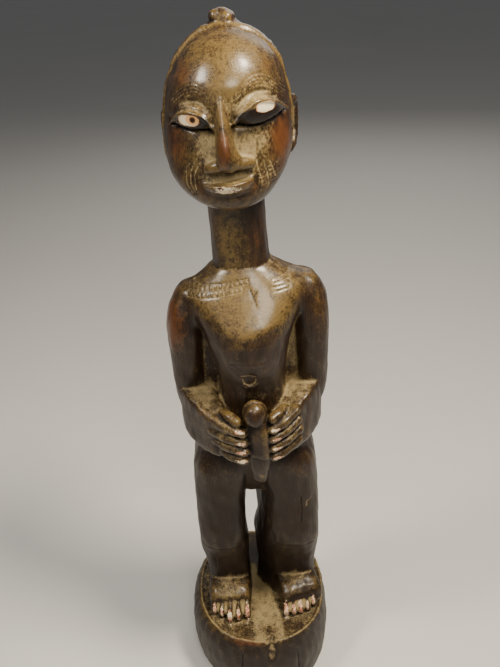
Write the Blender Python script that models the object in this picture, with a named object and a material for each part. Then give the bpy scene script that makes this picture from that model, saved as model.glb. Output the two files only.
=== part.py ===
"""Standing figure on a round base, carved from one log in the Baule manner.

Every table below is in millimetres, in the carver's frame: +Z up, the viewer in front on -Y, the
underside of the base on Z = 0. place_on_base() at the end moves the middle of the base onto the
Z axis. "Left" is the viewer's left, on -X.
"""

import bmesh
import bpy
import numpy as np

MM = 0.001

# The fused block: how finely it is cut, how much its edges are eased, and the final number of faces
BLOCK_CUT = 1.0
BLOCK_EASE_STEPS = 2
TRIANGLES = 9600

# Base: an oval drum, its top slightly dished and a little higher on the left
BASE_TOP = 49.0
BASE_TILT = 0.03
BASE_CENTRE_X = 0.6
BASE_CENTRE_Y = 6.0
BASE_HALF_WIDTH = 43.2
BASE_HALF_DEPTH = 49.0
BASE_SQUARENESS = 2.25
BASE_DISH = 1.0
BASE_RIM_WIDTH = 2.4
# height, swell beyond the rim, shift of the middle to the right
BASE_PROFILE = [
    (0, 1.0, -0.6),
    (6, 2.8, -1.4),
    (24, 4.6, -2.0),
    (38, 3.6, -1.8),
    (46, 1.6, -0.8),
    (49, 0.0, 0.0),
]
# The top inside the rim is closed by rings this much smaller each time
BASE_TOP_RING_STEP = 18.0
# Anything lower than this is part of the flat underside
UNDERSIDE_FLAT = 0.45
# Chip out of the front rim: x, half width, height of its lowest point, depth into the drum
RIM_CHIP = (5.4, 3.6, 40.0, 4.0)

# Columns: height, centre x, half width, front y, back y, squareness (2 round, 4 nearly square)
HEAD = [
    (340.5, -0.6, 8.0, -31.0, -8.0, 2.0),
    (342.0, -0.9, 14.0, -34.6, 0.0, 2.0),
    (345.0, -1.5, 19.4, -36.6, 8.0, 2.1),
    (350.0, -2.0, 24.4, -37.0, 16.0, 2.15),
    (357.0, -1.8, 28.4, -35.8, 22.5, 2.15),
    (366.0, -1.2, 29.8, -34.2, 27.0, 2.2),
    (376.0, -0.8, 29.6, -33.8, 30.0, 2.2),
    (386.0, -0.6, 28.6, -34.4, 31.5, 2.15),
    (394.0, -0.4, 26.8, -33.8, 31.0, 2.1),
    (401.0, 0.0, 24.2, -30.8, 28.5, 2.05),
    (407.0, 0.2, 20.3, -26.0, 24.0, 2.0),
    (412.0, 0.0, 14.6, -19.0, 18.0, 2.0),
    (415.2, -0.4, 8.6, -11.0, 10.0, 2.0),
    (416.5, -0.6, 3.0, -4.0, 4.0, 2.0),
]
NECK = [
    (286.0, 1.8, 17.0, -14.0, 17.0, 2.2),
    (298.0, 1.4, 15.8, -13.6, 16.5, 2.5),
    (306.0, 1.1, 15.0, -13.5, 16.0, 2.6),
    (325.0, 0.6, 14.5, -13.0, 15.5, 2.6),
    (345.0, 0.2, 15.0, -14.0, 17.0, 2.3),
    (362.0, 0.0, 16.0, -14.0, 18.0, 2.0),
]
TORSO = [
    (147.0, 1.8, 14.0, -6.0, 14.0, 2.2),
    (158.0, 1.8, 26.0, -12.0, 22.0, 2.3),
    (174.0, 1.8, 36.8, -18.5, 30.0, 2.4),
    (185.0, 1.9, 34.0, -21.5, 29.5, 2.4),
    (200.0, 2.2, 26.0, -25.0, 24.0, 2.3),
    (218.0, 2.8, 20.5, -26.6, 19.0, 2.4),
    (236.0, 3.2, 18.8, -28.6, 17.5, 2.3),
    (250.0, 2.8, 20.4, -32.4, 18.0, 2.2),
    (258.0, 2.6, 22.0, -34.4, 18.5, 2.1),
    (265.0, 2.6, 23.8, -34.6, 19.0, 2.1),
    (270.0, 2.8, 25.6, -34.0, 20.0, 2.1),
    (275.0, 2.8, 28.0, -32.0, 20.0, 2.15),
    (281.0, 2.8, 31.0, -28.0, 19.8, 2.2),
    (288.0, 2.6, 32.2, -23.2, 17.8, 2.3),
    (293.0, 2.2, 28.8, -20.0, 16.0, 2.3),
    (298.0, 1.8, 22.0, -17.0, 13.6, 2.2),
    (302.5, 1.4, 15.6, -13.8, 11.0, 2.1),
    (304.5, 1.4, 11.0, -10.0, 9.0, 2.0),
]
# Breast: the chest stands over the belly along a lower edge that rises to both sides
BREAST_LOWEST = 271.0
BREAST_MIDDLE_X = 3.4
BREAST_RISE = 9.0
BREAST_HALF_WIDTH = 24.0
BREAST_STEP = 0.9
BREAST_FADE = 20.0
# The shoulders rise toward the viewer's right, most at one height
SHOULDER_TILT = 0.06
SHOULDER_TILT_Z = 283.0
SHOULDER_TILT_SPAN = 26.0
# Wood left standing between the arms and the body, set back behind both
WEB = [
    (204.0, 2.4, 24.0, -6.0, 10.0, 3.0),
    (228.0, 2.6, 31.0, -9.5, 12.0, 3.0),
    (258.0, 2.6, 32.0, -10.5, 13.0, 3.0),
    (278.0, 2.6, 33.0, -12.0, 14.0, 3.0),
]

# One limb of each pair; the other is its mirror. Columns: x, y, z, half width, half depth
UPPER_ARM = [
    (30.0, 1.0, 284.0, 9.6, 12.5),
    (33.8, -0.5, 275.0, 10.2, 14.2),
    (34.6, -1.0, 262.0, 10.0, 14.0),
    (34.6, -0.4, 246.0, 9.8, 12.8),
    (34.6, 1.0, 230.0, 9.6, 11.5),
    (33.8, 2.5, 217.0, 9.2, 10.5),
    (31.0, 3.5, 207.0, 7.4, 8.5),
]
ARM_MIDDLE = [(195, 0.6), (230, 2.6), (300, 2.6)]
# Chest, arms and neck run into one rounded shoulder: z where the rounding starts, is full, fades and
# ends, distance from the breast's middle where it starts and is full, and how far it reaches
SHOULDER_BLEND_Z = (268.0, 277.0, 296.0, 302.0)
SHOULDER_BLEND_X = (13.0, 19.0)
SHOULDER_BLEND_REACH = 6.5
# x, y, z, half thickness, half height
FOREARM = [
    (33.8, 4.0, 215.0, 8.0, 14.0),
    (31.0, -7.0, 213.8, 9.0, 15.8),
    (25.5, -17.0, 211.5, 8.4, 16.0),
    (19.5, -25.0, 208.5, 6.6, 14.0),
    (15.0, -29.0, 206.5, 5.0, 12.6),
]
FOREARM_SQUARENESS = 7.0

# Legs: height, distance of the middle from the body line, half width, front y, back y
LEG = [
    (46.0, 22.2, 14.4, -6.0, 20.0),
    (66.0, 22.2, 14.4, -4.0, 19.0),
    (76.0, 22.5, 14.5, -5.0, 19.5),
    (88.0, 23.2, 15.2, -8.5, 22.0),
    (99.0, 23.5, 15.7, -13.5, 24.0),
    (109.0, 24.0, 15.2, -17.0, 21.5),
    (118.0, 23.9, 15.2, -17.5, 18.5),
    (132.0, 23.6, 15.4, -17.5, 20.5),
    (148.0, 22.8, 16.2, -18.5, 25.0),
    (162.0, 20.8, 17.4, -20.0, 28.5),
    (174.0, 18.6, 18.4, -21.0, 29.5),
    (186.0, 14.0, 16.0, -19.0, 26.0),
]
LEG_SQUARENESS = 3.0
LEG_MIDDLE_X = 1.6
# How far the inner side of each leg closes toward the back, by height: the right one much more
LEG_CLOSING = {
    -1: [(46, 0.0), (186, 0.03)],
    1: [(46, 0.66), (76, 0.64), (100, 0.44), (125, 0.36), (186, 0.27)],
}
BUTTOCK_CENTRE = (15.5, 15.5, 172.0)
BUTTOCK_RADII = (17.5, 18.0, 20.0)

# Feet: from heel to instep: x outward from the foot's own middle, y, z, half width, half height
FOOT = [
    (-2.0, 20.0, 55.0, 11.5, 8.0),
    (-0.5, 8.0, 57.0, 13.6, 10.0),
    (0.0, -4.0, 57.0, 14.2, 9.6),
    (0.0, -11.0, 56.0, 14.2, 8.4),
    (0.0, -15.0, 52.6, 13.6, 4.6),
]
FOOT_SQUARENESS = 4.0
FOOT_MIDDLE = {-1: -20.9, 1: 25.9}
FOOT_TURN_DEG = {-1: 0.0, 1: 17.0}
# Toes: x and y of each tip, outer toe first on the left foot, big toe first on the right foot
TOES = {
    -1: [(-31.8, -21.7), (-26.9, -24.4), (-21.5, -28.6), (-15.8, -27.6), (-9.9, -25.7)],
    1: [(16.6, -25.6), (21.7, -25.0), (26.4, -23.6), (31.1, -21.8), (35.4, -17.8)],
}
TOE_ROOT = {-1: [(-31.6, -9.0), (-10.0, -11.0)], 1: [(16.4, -11.0), (34.6, -4.0)]}
TOE_HALF_WIDTH = 2.55
TOE_HALF_HEIGHT = 4.2
TOE_DROP = 3.4

# Hands: root and tip of each finger from the top down, as x and z; then the thumb
FINGER_ROOT_Y = -28.5
FINGER_TIP_Y = -36.0
FINGERS = {
    -1: [
        (-19.5, 220.6, -3.6, 215.4),
        (-20.5, 213.8, -3.2, 208.8),
        (-19.0, 206.6, -3.2, 202.4),
        (-16.5, 200.6, -3.8, 196.2),
    ],
    1: [
        (25.5, 223.6, 12.4, 216.8),
        (26.5, 217.0, 12.0, 210.4),
        (27.0, 210.4, 12.2, 204.2),
        (26.6, 204.2, 12.4, 198.0),
    ],
}
FINGER_HALF_HEIGHT = 2.75
FINGER_HALF_DEPTH = 3.4
# The middle of a finger lies behind its tip and sags below the straight line
FINGER_BEND_BACK = 2.4
FINGER_SAG = 0.4
PALM = {
    -1: [
        (-23.0, -22.0, 212.0, 5.0, 12.5),
        (-14.0, -29.0, 209.5, 4.4, 12.0),
        (-6.0, -31.0, 206.5, 3.6, 10.6),
    ],
    1: [
        (29.0, -20.0, 213.0, 5.0, 12.5),
        (21.0, -28.0, 211.0, 4.4, 12.0),
        (14.0, -31.0, 208.0, 3.6, 10.6),
    ],
}
THUMB = {
    -1: [
        (-14.0, -27.0, 223.0, 2.8, 2.6),
        (-10.6, -31.6, 223.4, 3.0, 2.8),
        (-6.6, -34.8, 221.6, 2.9, 2.8),
    ],
    1: [
        (20.0, -27.0, 223.6, 2.8, 2.6),
        (16.8, -31.6, 223.8, 3.0, 2.8),
        (12.8, -34.8, 222.6, 2.9, 2.8),
    ],
}

# Knob between the thumbs, the long form that hangs from it, and its tapering lower end
KNOB_CENTRE = (3.2, -36.0, 226.4)
KNOB_RADII = (5.9, 5.6, 7.3)
KNOB_RING = (6.7, 3.6, 8.0)
KNOB_RING_Y = -33.4
BAR_TURN = (-0.42, -0.91, 0.0)
# x, y, z, half width, half depth
BAR = [
    (4.6, -32.6, 221.0, 6.0, 5.0),
    (4.8, -33.8, 211.0, 6.8, 5.2),
    (5.0, -33.6, 200.5, 6.9, 5.0),
]
BAR_END = [
    (5.6, -29.2, 201.0, 6.4, 5.4),
    (5.0, -28.6, 188.0, 6.0, 5.2),
    (5.0, -26.6, 176.4, 4.2, 4.2),
]

# Navel: a small raised crescent on the belly
NAVEL = (1.8, -30.7, 244.0)
NAVEL_RADIUS = 3.6

# Face. Brow arcs: inner end, peak and outer end as x and z; the sockets are sunk below them
BROW = {
    -1: [(-6.0, 382.0), (-13.6, 391.8), (-27.0, 383.0)],
    1: [(0.2, 383.0), (12.8, 394.0), (27.4, 383.5)],
}
SOCKET_DEPTH = 3.4
SOCKET_EDGE = 2.4
CHEEK_FLOOR_Z = 363.0
# The face is shaped only this far in front of the head's middle
FACE_STARTS = (8.0, 18.0)
# Nose from the brow down: x, y, z, half width, half depth
NOSE = [
    (-3.7, -30.5, 392.0, 2.8, 3.0),
    (-3.3, -33.2, 386.0, 2.9, 3.8),
    (-2.8, -36.2, 377.0, 3.7, 4.6),
    (-2.0, -38.8, 369.5, 4.9, 5.2),
    (-1.0, -38.8, 365.4, 5.8, 5.0),
]
# Below 2 the nose has a ridge down its middle and a flat on each side
NOSE_SQUARENESS = 1.55
# The wings of the nose and the upper lip are one broad bar below it
LIP_BAR = [
    (-10.4, -34.4, 361.4, 3.2, 2.2),
    (-6.4, -36.4, 362.9, 4.0, 2.7),
    (-1.4, -37.0, 363.6, 4.4, 2.7),
    (3.8, -36.4, 364.0, 4.0, 2.8),
    (8.2, -34.4, 363.2, 3.2, 2.3),
]
LOWER_LIP_CENTRE = (-2.2, -33.6, 355.8)
LOWER_LIP_RADII = (11.8, 9.4, 6.9)
LOWER_LIP_TOP = 355.9
LOWER_LIP_SLOPE = 0.1
CHIN_CENTRE = (-1.4, -29.0, 348.0)
CHIN_RADII = (11.0, 8.6, 6.4)
# Eyes: middle (x, setback behind the brow, z), radii, height of the flat cut underneath, its slope
EYES = {
    -1: ((-16.4, 2.9, 382.6), (9.8, 5.2, 6.4), 377.6, 0.0),
    1: ((13.6, 3.1, 384.6), (12.2, 5.6, 7.4), 378.2, 0.08),
}
LID_LINE = {
    -1: [(-25.6, 379.2), (-22.6, 383.4), (-16.8, 385.4), (-11.6, 384.0), (-7.2, 379.2)],
    1: [(2.0, 380.6), (6.4, 385.2), (13.0, 388.8), (19.4, 387.6), (25.6, 382.4)],
}
LID_HALF_WIDTH = 0.9
LID_BULGE = 1.1
LID_HALF_DEPTH = 1.7

# Ears, hair and topknot
EAR = [
    (27.8, -2.0, 379.6),
    (30.4, 2.5, 381.6),
    (31.4, 6.5, 377.0),
    (31.2, 6.5, 368.0),
    (30.0, 2.0, 360.6),
    (27.8, -2.0, 358.6),
]
EAR_HALF_WIDTH = 2.1
EAR_LIFT = {-1: -2.6, 1: 0.8}
HAIR_LINE_Y = -5.5
HAIR_STEP = 1.3
HAIR_EDGE = 0.6
NAPE_Z = (345.0, 352.0)
TOPKNOT_CENTRE = (-0.6, 0.5, 415.0)
TOPKNOT_HEIGHT = 8.2
TOPKNOT_RADIUS = 6.0
TOPKNOT_LOBES = 4
TOPKNOT_LOBE_RADIUS = 3.2
COLLAR = [
    (412.4, 0.2, 11.2, -9.6, 10.6, 2.0),
    (415.6, 0.0, 9.8, -8.6, 9.6, 2.0),
    (418.0, -0.4, 6.0, -5.4, 6.4, 2.0),
]


def smooth_rows(rows, steps):
    """Rows read at finer steps along a curve through them that never swings past a row's own values."""
    rows = np.array(rows, float)
    if len(rows) == 2:
        return rows[0] + np.linspace(0, 1, steps + 1)[:, None] * (rows[1] - rows[0])
    rise = np.diff(rows, axis=0)
    slope = np.zeros_like(rows)
    same_way = rise[:-1] * rise[1:] > 0
    total = np.where(same_way, rise[:-1] + rise[1:], 1.0)
    slope[1:-1] = np.where(same_way, 2 * rise[:-1] * rise[1:] / total, 0.0)
    slope[0], slope[-1] = rise[0], rise[-1]
    out = []
    for i in range(len(rise)):
        for t in np.arange(steps) / steps:
            out.append(
                rows[i] * (2 * t**3 - 3 * t**2 + 1)
                + slope[i] * (t**3 - 2 * t**2 + t)
                + rows[i + 1] * (3 * t**2 - 2 * t**3)
                + slope[i + 1] * (t**3 - t**2)
            )
    return np.array(out + [rows[-1]])


def section(centre, across, deep, squareness, sides):
    """A ring of points round centre, with half axes across and deep."""
    turn = np.linspace(0, 2 * np.pi, sides, endpoint=False)
    power = 2 / squareness
    along = np.sign(np.cos(turn)) * np.abs(np.cos(turn)) ** power
    away = np.sign(np.sin(turn)) * np.abs(np.sin(turn)) ** power
    return np.asarray(centre) + np.outer(along, across) + np.outer(away, deep)


def loft(block, rings):
    """Adds the closed skin over a row of rings, with a point at the middle of each end."""
    verts = [[block.verts.new(p) for p in ring] for ring in rings]
    sides = len(verts[0])
    faces = []
    for low, high in zip(verts, verts[1:]):
        for i in range(sides):
            j = (i + 1) % sides
            faces.append(block.faces.new((low[i], low[j], high[j], high[i])))
    for ring, points in ((verts[0], rings[0]), (verts[-1], rings[-1])):
        middle = block.verts.new(np.mean(points, axis=0))
        for i in range(sides):
            faces.append(block.faces.new((ring[i], ring[(i + 1) % sides], middle)))
    bmesh.ops.recalc_face_normals(block, faces=faces)


def column(block, rows, steps=4, sides=48):
    """A body of level sections: height, centre x, half width, front y, back y, squareness."""
    rings = []
    for height, x, half_width, front, back, squareness in smooth_rows(rows, steps):
        centre = (x, (front + back) / 2, height)
        rings.append(section(centre, (half_width, 0, 0), (0, (back - front) / 2, 0), squareness, sides))
    loft(block, rings)


def sweep(block, rows, up=(0, 0, 1), squareness=2.0, steps=4, sides=20, cap_rings=3):
    """A bar along a path, with rounded ends: x, y, z, half width across, half height along up."""
    rows = smooth_rows(rows, steps)
    path = rows[:, :3]
    along = np.gradient(path, axis=0)
    along /= np.linalg.norm(along, axis=1)[:, None]
    across = np.cross(along, up)
    across /= np.linalg.norm(across, axis=1)[:, None]
    upward = np.cross(across, along)
    rings = []
    for end, way in ((0, -1), (-1, 1)):
        capped = []
        for k in range(1, cap_rings + 1):
            angle = k / (cap_rings + 0.35) * np.pi / 2
            reach = min(rows[end, 3], rows[end, 4]) * np.sin(angle)
            centre = path[end] + way * along[end] * reach
            size = rows[end, 3:5] * np.cos(angle)
            capped.append(section(centre, across[end] * size[0], upward[end] * size[1], squareness, sides))
        rings.append(capped)
    body = [
        section(path[i], across[i] * rows[i, 3], upward[i] * rows[i, 4], squareness, sides)
        for i in range(len(rows))
    ]
    loft(block, rings[0][::-1] + body + rings[1])


def ball(block, centre, radii, subdivisions=4):
    made = bmesh.ops.create_icosphere(block, subdivisions=subdivisions, radius=1.0)
    for vert in made["verts"]:
        vert.co = [c + r * x for c, r, x in zip(centre, radii, vert.co)]
    return made["verts"]


def turned(points, middle, degrees):
    """Points turned about an upright line through middle."""
    angle = np.radians(degrees)
    x, y = points[..., 0] - middle[0], points[..., 1] - middle[1]
    out = np.array(points, float)
    out[..., 0] = middle[0] + x * np.cos(angle) - y * np.sin(angle)
    out[..., 1] = middle[1] + x * np.sin(angle) + y * np.cos(angle)
    return out


def smooth_step(value, low, high):
    t = np.clip((value - low) / (high - low), 0, 1)
    return t * t * (3 - 2 * t)


def brow_height(x, side):
    """Height of the brow arc above each x on one side of the face, and how far x is within it."""
    (x0, z0), (x1, z1), (x2, z2) = BROW[side]
    inward = np.clip((x - x0) / (x1 - x0), 0, 1)
    outward = np.clip((x - x1) / (x2 - x1), 0, 1)
    inner = z0 + (z1 - z0) * np.sin(inward * np.pi / 2)
    outer = z2 + (z1 - z2) * np.cos(outward * np.pi / 2)
    past_peak = (x - x1) * side > 0
    return np.where(past_peak, outer, inner), (x - x0) * side, (x2 - x) * side


def face_front(x, z):
    """How far forward the even column of the head stands at a place on the face."""
    height, middle, half_width, front, back, squareness = smooth_rows(HEAD, 6).T
    share = np.clip(np.abs(x - np.interp(z, height, middle)) / np.interp(z, height, half_width), 0, 0.995)
    power = np.interp(z, height, squareness)
    front, back = np.interp(z, height, front), np.interp(z, height, back)
    return (front + back) / 2 - (back - front) / 2 * (1 - share**power) ** (1 / power)


def sink_the_face(points):
    """Sinks the eye sockets and the cheeks beside the nose below the brow arcs."""
    in_front = smooth_step(-points[:, 1], *FACE_STARTS)
    for side in (-1, 1):
        brow, from_nose, from_temple = brow_height(points[:, 0], side)
        below = smooth_step(brow - points[:, 2], 0, SOCKET_EDGE)
        above_mouth = smooth_step(points[:, 2], CHEEK_FLOOR_Z, BROW[side][1][1] - 8)
        across = smooth_step(from_nose, -1.5, 2.0) * smooth_step(from_temple, -2.0, 2.5)
        points[:, 1] += SOCKET_DEPTH * below * above_mouth * across * in_front
    return points


def raise_the_hair(points):
    """Lifts everything behind the hair line by the thickness of the hair cap."""
    outward = points - np.array([0.0, 0.0, HEAD[6][0]])
    outward /= np.linalg.norm(outward, axis=1)[:, None]
    above_nape = smooth_step(points[:, 2], *NAPE_Z)
    hair = smooth_step(points[:, 1], HAIR_LINE_Y - HAIR_EDGE, HAIR_LINE_Y + HAIR_EDGE) * above_nape
    return points + outward * (HAIR_STEP * hair)[:, None]


def carve_face(block):
    sweep(block, NOSE, up=(0, -1, 0), squareness=NOSE_SQUARENESS)
    sweep(block, LIP_BAR, squareness=2.6)
    for vert in ball(block, LOWER_LIP_CENTRE, LOWER_LIP_RADII):
        from_middle = vert.co[0] - LOWER_LIP_CENTRE[0]
        vert.co[2] = min(vert.co[2], LOWER_LIP_TOP + LOWER_LIP_SLOPE * from_middle)
    ball(block, CHIN_CENTRE, CHIN_RADII)
    for side in (-1, 1):
        (x0, setback, z0), radii, cut, slope = EYES[side]
        for vert in ball(block, (x0, 0, z0), radii):
            x, y, z = vert.co
            vert.co = (x, y + setback + face_front(x, z), max(z, cut + slope * (x - x0)))
        lid_size = (LID_HALF_DEPTH, LID_HALF_WIDTH)
        lid = [(x, face_front(x, z) - LID_BULGE, z, *lid_size) for x, z in LID_LINE[side]]
        sweep(block, lid)
        ear = [(side * x, y, z + EAR_LIFT[side], EAR_HALF_WIDTH, EAR_HALF_WIDTH) for x, y, z in EAR]
        sweep(block, ear, up=(1, 0, 0))


def carve_topknot(block):
    column(block, COLLAR)
    x, y, z = TOPKNOT_CENTRE
    stem = [(x, y, z - 3, TOPKNOT_RADIUS, TOPKNOT_RADIUS), (x, y, z + 2.5, TOPKNOT_RADIUS, TOPKNOT_RADIUS)]
    sweep(block, stem, up=(0, 1, 0))
    reach = TOPKNOT_RADIUS - TOPKNOT_LOBE_RADIUS + 0.6
    for k in range(TOPKNOT_LOBES):
        turn = 2 * np.pi * (k + 0.35) / TOPKNOT_LOBES
        drop = 1.2 * (1 + np.cos(turn)) / 2
        top = z + TOPKNOT_HEIGHT - TOPKNOT_LOBE_RADIUS - drop
        ball(block, (x + reach * np.cos(turn), y + reach * np.sin(turn), top), (TOPKNOT_LOBE_RADIUS,) * 3, 3)


def carve_arms(block):
    heights, middles = np.array(ARM_MIDDLE, float).T
    for side in (-1, 1):
        limbs = []
        for rows in (UPPER_ARM, FOREARM):
            moved = []
            for x, y, z, wide, deep in rows:
                moved.append((side * x + np.interp(z, heights, middles), y, z, wide, deep))
            limbs.append(moved)
        sweep(block, limbs[0], up=(0, 1, 0), squareness=2.5, sides=32)
        sweep(block, limbs[1], squareness=FOREARM_SQUARENESS, sides=40, cap_rings=4)


def carve_hands(block):
    size = (FINGER_HALF_DEPTH, FINGER_HALF_HEIGHT)
    for side in (-1, 1):
        sweep(block, PALM[side], squareness=3.0)
        sweep(block, THUMB[side], squareness=2.3)
        for root_x, root_z, tip_x, tip_z in FINGERS[side]:
            root = (root_x, FINGER_ROOT_Y, root_z)
            tip = (tip_x, FINGER_TIP_Y, tip_z)
            middle_z = (root_z + tip_z) / 2 - FINGER_SAG
            middle = ((root_x + tip_x) / 2, FINGER_TIP_Y + FINGER_BEND_BACK, middle_z)
            sweep(block, [(*root, *size), (*middle, *size), (*tip, *size)], squareness=2.6)


def carve_hanging_form(block):
    ball(block, KNOB_CENTRE, KNOB_RADII)
    ball(block, (KNOB_CENTRE[0], KNOB_RING_Y, KNOB_CENTRE[2] + 0.4), KNOB_RING)
    sweep(block, BAR, up=BAR_TURN, squareness=5.0)
    sweep(block, BAR_END, up=BAR_TURN, squareness=3.5)


def carve_legs(block):
    for side in (-1, 1):
        rings = []
        for height, x, half_width, front, back in smooth_rows(LEG, 4):
            centre = (LEG_MIDDLE_X + side * x, (front + back) / 2, height)
            ring = section(centre, (half_width, 0, 0), (0, (back - front) / 2, 0), LEG_SQUARENESS, 64)
            inner = np.clip(side * (centre[0] - ring[:, 0]) / half_width, 0, 1)
            closing = np.interp(height, *np.array(LEG_CLOSING[side], float).T)
            ring[:, 0] -= side * closing * inner * (ring[:, 1] - front)
            rings.append(ring)
        loft(block, rings)
        x, y, z = BUTTOCK_CENTRE
        ball(block, (LEG_MIDDLE_X + side * x, y, z), BUTTOCK_RADII)


def carve_feet(block):
    for side in (-1, 1):
        middle = FOOT_MIDDLE[side]
        rows = np.array(FOOT)
        rows[:, 0] = middle + side * rows[:, 0]
        rows[:, :3] = turned(rows[:, :3], (middle, -6.0), FOOT_TURN_DEG[side])
        sweep(block, rows, squareness=FOOT_SQUARENESS, sides=40)
        (x0, y0), (x1, y1) = TOE_ROOT[side]
        for k, (tip_x, tip_y) in enumerate(TOES[side]):
            share = k / (len(TOES[side]) - 1)
            floor = BASE_TOP - BASE_TILT * tip_x
            low = floor + TOE_HALF_HEIGHT - 0.9
            root = (x0 + share * (x1 - x0), y0 + share * (y1 - y0), low + TOE_DROP)
            tip = (tip_x, tip_y + TOE_HALF_WIDTH, low)
            size = (TOE_HALF_WIDTH, TOE_HALF_HEIGHT)
            sweep(block, [(*root, *size), (*tip, *size)], squareness=2.4)


def carve_base(block):
    def ring(height, swell, shift):
        across, deep = BASE_HALF_WIDTH + swell, BASE_HALF_DEPTH + swell
        centre = (BASE_CENTRE_X + shift, BASE_CENTRE_Y, height)
        return section(centre, (across, 0, 0), (0, deep, 0), BASE_SQUARENESS, 128)

    rings = [ring(*row) for row in smooth_rows(BASE_PROFILE, 4)]
    for k in range(3):
        rings.append(ring(BASE_TOP - BASE_DISH, -BASE_RIM_WIDTH - k * BASE_TOP_RING_STEP, 0.0))
    for level in rings:
        level[:, 2] -= BASE_TILT * level[:, 0] * smooth_step(level[:, 2], 20.0, BASE_TOP - 4)
    x, half_width, lowest, depth = RIM_CHIP
    front = BASE_CENTRE_Y - BASE_HALF_DEPTH
    for level in rings:
        near = np.clip(1 - np.abs(level[:, 0] - x) / half_width, 0, 1)
        high = smooth_step(level[:, 2], lowest, BASE_TOP - 1)
        on_front = smooth_step(front + 12 - level[:, 1], 0, 8)
        level[:, 1] += depth * near * high * on_front
    loft(block, rings)


def neighbour_mean(values, edges, steps, weight):
    """Each point's values drawn halfway to its neighbours' mean, again and again, by weight."""
    count = len(values)
    tally = np.bincount(edges.ravel(), minlength=count).astype(float)
    for _ in range(steps):
        total = np.empty_like(values)
        for k in range(values.shape[1]):
            data = values[:, k]
            total[:, k] = np.bincount(edges[:, 0], data[edges[:, 1]], count)
            total[:, k] += np.bincount(edges[:, 1], data[edges[:, 0]], count)
        values = values + 0.5 * weight[:, None] * (total / tally[:, None] - values)
    return values


def round_the_shoulders(points, edges):
    """Runs chest, arms and neck into one rounded form between the armpits and the neck."""
    low, full, fading, high = SHOULDER_BLEND_Z
    height = points[:, 2] - SHOULDER_TILT * points[:, 0]
    weight = smooth_step(height, low, full) * (1 - smooth_step(height, fading, high))
    weight *= smooth_step(np.abs(points[:, 0] - BREAST_MIDDLE_X), *SHOULDER_BLEND_X)
    steps = int((SHOULDER_BLEND_REACH / BLOCK_CUT) ** 2)
    return neighbour_mean(points, edges, steps, weight)


def lift_the_breast(points):
    """Brings the chest forward above its curved lower edge, fading out toward the collarbones."""
    from_middle = (points[:, 0] - BREAST_MIDDLE_X) / BREAST_HALF_WIDTH
    above = points[:, 2] - (BREAST_LOWEST + BREAST_RISE * from_middle**2)
    step = smooth_step(above, -1.2, 2.4) * (1 - smooth_step(above, 4.0, BREAST_FADE))
    in_front = smooth_step(-points[:, 1], 6.0, 14.0)
    points[:, 1] -= BREAST_STEP * step * in_front
    return points


def shaped_column(block, rows, *shapers):
    """A column made fine enough to be shaped by the given functions before it joins the block."""
    shell = bmesh.new()
    column(shell, rows, steps=6, sides=160)
    points = np.array([v.co for v in shell.verts])
    for shape in shapers:
        points = shape(points)
    for vert, point in zip(shell.verts, points):
        vert.co = point
    spare = bpy.data.meshes.new("shell")
    shell.to_mesh(spare)
    shell.free()
    block.from_mesh(spare)
    bpy.data.meshes.remove(spare)


def carve_navel(block):
    x, y, z = NAVEL
    turn = np.radians(np.linspace(195, 345, 7))
    rows = [(x + NAVEL_RADIUS * np.cos(t), y, z + 0.7 * NAVEL_RADIUS * np.sin(t), 0.8, 0.7) for t in turn]
    sweep(block, rows, up=(0, 1, 0))


def place_on_base(points):
    """Tilts the shoulders, moves the middle of the underside to the origin and flattens it."""
    near_shoulders = np.exp(-(((points[:, 2] - SHOULDER_TILT_Z) / SHOULDER_TILT_SPAN) ** 2))
    points[:, 2] += SHOULDER_TILT * points[:, 0] * near_shoulders
    points[:, 1] -= BASE_CENTRE_Y
    points[:, 0] -= BASE_CENTRE_X
    points[:, 2] = np.where(points[:, 2] < UNDERSIDE_FLAT, 0.0, points[:, 2])
    return points


def wood_material():
    material = bpy.data.materials.new("dark_wood")
    material.use_nodes = True
    shader = material.node_tree.nodes["Principled BSDF"]
    shader.inputs["Base Color"].default_value = (0.045, 0.028, 0.018, 1.0)
    shader.inputs["Roughness"].default_value = 0.38
    shader.inputs["Metallic"].default_value = 0.0
    return material


def fused(block):
    """One closed skin round all the overlapping masses, eased a little at its edges."""
    mesh = bpy.data.meshes.new("masses")
    block.to_mesh(mesh)
    masses = bpy.data.objects.new("masses", mesh)
    bpy.context.scene.collection.objects.link(masses)
    skin = masses.modifiers.new("skin", "REMESH")
    skin.mode = "VOXEL"
    skin.voxel_size = BLOCK_CUT
    ease = masses.modifiers.new("ease", "SMOOTH")
    ease.factor = 0.5
    ease.iterations = BLOCK_EASE_STEPS
    graph = bpy.context.evaluated_depsgraph_get()
    done = bpy.data.meshes.new_from_object(masses.evaluated_get(graph))
    bpy.data.objects.remove(masses)
    return done


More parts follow.
